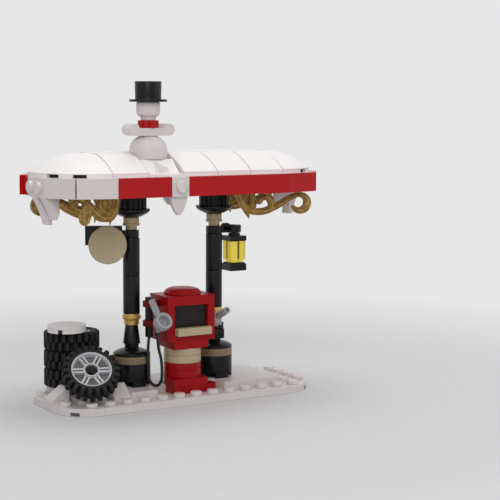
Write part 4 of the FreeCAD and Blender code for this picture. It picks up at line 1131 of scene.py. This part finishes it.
def stack_post():
    post = [(0, 0), (2.3, 0), (2.3, 23.7), (3.2, 23.7), (3.2, 24.3), (2.4, 24.3), (2.4, 26), (0, 26)]
    seen_turned("stack_post", post, [at(*STACK, 6.4)], 0.15, 32)


# Lid: its place, the height of its seam and of its top, and the sides and back of the notch in its front
LID = at(-48, 4, 30.75)
LID_SEAM = 1.6
LID_TOP = 3
NOTCH_LEFT = -6.2
NOTCH_RIGHT = -4.6
NOTCH_BACK = -5


def lid():
    """A round lid with a small notch under its front rim, and a black block at the notch's back as painted
    shade.
    """
    left, right = (180 + math.degrees(math.acos(-x / ROUND)) for x in (NOTCH_LEFT, NOTCH_RIGHT))
    lower = arc((0, 0), ROUND, right, 360 + left, 60) + [(NOTCH_LEFT, NOTCH_BACK), (NOTCH_RIGHT, NOTCH_BACK)]
    mesh = bmesh.new()
    extruded(mesh, lower, 0, LID_SEAM, LID)
    turned(mesh, soft([(0, LID_SEAM), (ROUND, LID_SEAM), (ROUND, LID_TOP), (0, LID_TOP)], 0.15), LID)
    stand_for("stack_disc", mesh, 0)
    back = bmesh.new()
    box(back, (NOTCH_LEFT + 0.05, NOTCH_BACK - 0.6, 0.02), (NOTCH_RIGHT - NOTCH_LEFT - 0.1, 0.7, 1.56), LID)
    # Painted shade: a black block at the back of the notch
    stand_for("stack_disc", back, 0, "black", "lid_notch_painted_shade", "black")


# Stage
def floor_paint():
    """Pale paint that fades to nothing away from the object."""
    shader = Shader("floor_paint")
    shader.feed("Base Color", shader.mix(shader.ranged(shader.noise(4 * MM), 0, 1), *FLOOR_TINTS))
    shader.fix("Roughness", 0.9)
    reach = shader.add("ShaderNodeVectorMath", operation="LENGTH")
    shader.link(shader.place, reach.inputs[0])
    clear = shader.add("ShaderNodeBsdfTransparent")
    blend = shader.add("ShaderNodeMixShader")
    shader.link(shader.ranged(reach.outputs["Value"], 0, 1, FADE_START, FADE_END), blend.inputs[0])
    shader.link(shader.surface.outputs[0], blend.inputs[1])
    shader.link(clear.outputs[0], blend.inputs[2])
    shader.link(blend.outputs[0], shader.output.inputs["Surface"])
    return shader.material


def floor():
    mesh = bmesh.new()
    corners = ((-1, -1), (1, -1), (1, 1), (-1, 1))
    mesh.faces.new([mesh.verts.new((x * FLOOR_HALF, y * FLOOR_HALF, -FLOOR_DROP)) for x, y in corners])
    data = bpy.data.meshes.new("floor")
    mesh.to_mesh(data)
    mesh.free()
    data.materials.append(floor_paint())
    piece = add_object("floor", data)


def world():
    """Soft light from all round, and the backdrop for what the camera, gloss and glass see."""
    sky = bpy.data.worlds.new("studio")
    bpy.context.scene.world = sky
    sky.use_nodes = True
    tree = sky.node_tree
    tree.nodes.clear()
    light = tree.nodes.new("ShaderNodeBackground")
    light.inputs["Color"].default_value = (1, 1, 1, 1)
    light.inputs["Strength"].default_value = WORLD_LIGHT
    seen = tree.nodes.new("ShaderNodeBackground")
    seen.inputs["Color"].default_value = (*BACKDROP, 1)
    path = tree.nodes.new("ShaderNodeLightPath")
    total = path.outputs["Is Camera Ray"]
    for name in ("Is Glossy Ray", "Is Transmission Ray"):
        both = tree.nodes.new("ShaderNodeMath")
        both.operation = "MAXIMUM"
        tree.links.new(total, both.inputs[0])
        tree.links.new(path.outputs[name], both.inputs[1])
        total = both.outputs[0]
    choose = tree.nodes.new("ShaderNodeMixShader")
    tree.links.new(total, choose.inputs[0])
    tree.links.new(light.outputs[0], choose.inputs[1])
    tree.links.new(seen.outputs[0], choose.inputs[2])
    output = tree.nodes.new("ShaderNodeOutputWorld")
    tree.links.new(choose.outputs[0], output.inputs[0])


def lights():
    for name, place, size, watts in SOFTBOXES:
        lamp = bpy.data.lights.new(name, "AREA")
        lamp.shape = "RECTANGLE"
        lamp.size, lamp.size_y = size
        lamp.energy = watts
        piece = add_object(name, lamp)
        piece.location = place
        piece.rotation_euler = (Vector(LIT_POINT) - Vector(place)).to_track_quat("-Z", "Y").to_euler()


def camera():
    azimuth, pitch, roll = (math.radians(angle) for angle in (AZIMUTH, PITCH, ROLL))
    flat = math.cos(pitch)
    forward = Vector((math.sin(azimuth) * flat, math.cos(azimuth) * flat, -math.sin(pitch)))
    level_right = Vector((math.cos(azimuth), -math.sin(azimuth), 0))
    level_up = level_right.cross(forward)
    right = level_right * math.cos(roll) + level_up * math.sin(roll)
    up = level_up * math.cos(roll) - level_right * math.sin(roll)
    data = bpy.data.cameras.new("camera")
    data.sensor_width = SENSOR_WIDTH
    data.lens = FOCAL_LENGTH
    data.clip_start = NEAR_LIMIT
    piece = add_object("camera", data)
    piece.matrix_world = Matrix.Translation(EYE) @ Matrix((right, up, -forward)).transposed().to_4x4()
    bpy.context.scene.camera = piece


materials = make_materials()
dress_nodes()
camera()
hose()
base_middle()
base_ends()
columns()
pump()
roof_slopes()
snow_mound()
roof_ends()
teeth()
claws()
scrolls()
snowman()
sign_disc()
lantern_bracket()
lantern_lens()
spare_wheel()
stacked_wheels()
stack_post()
lid()
floor()
world()
lights()
bpy.context.scene.view_settings.view_transform = "Standard"
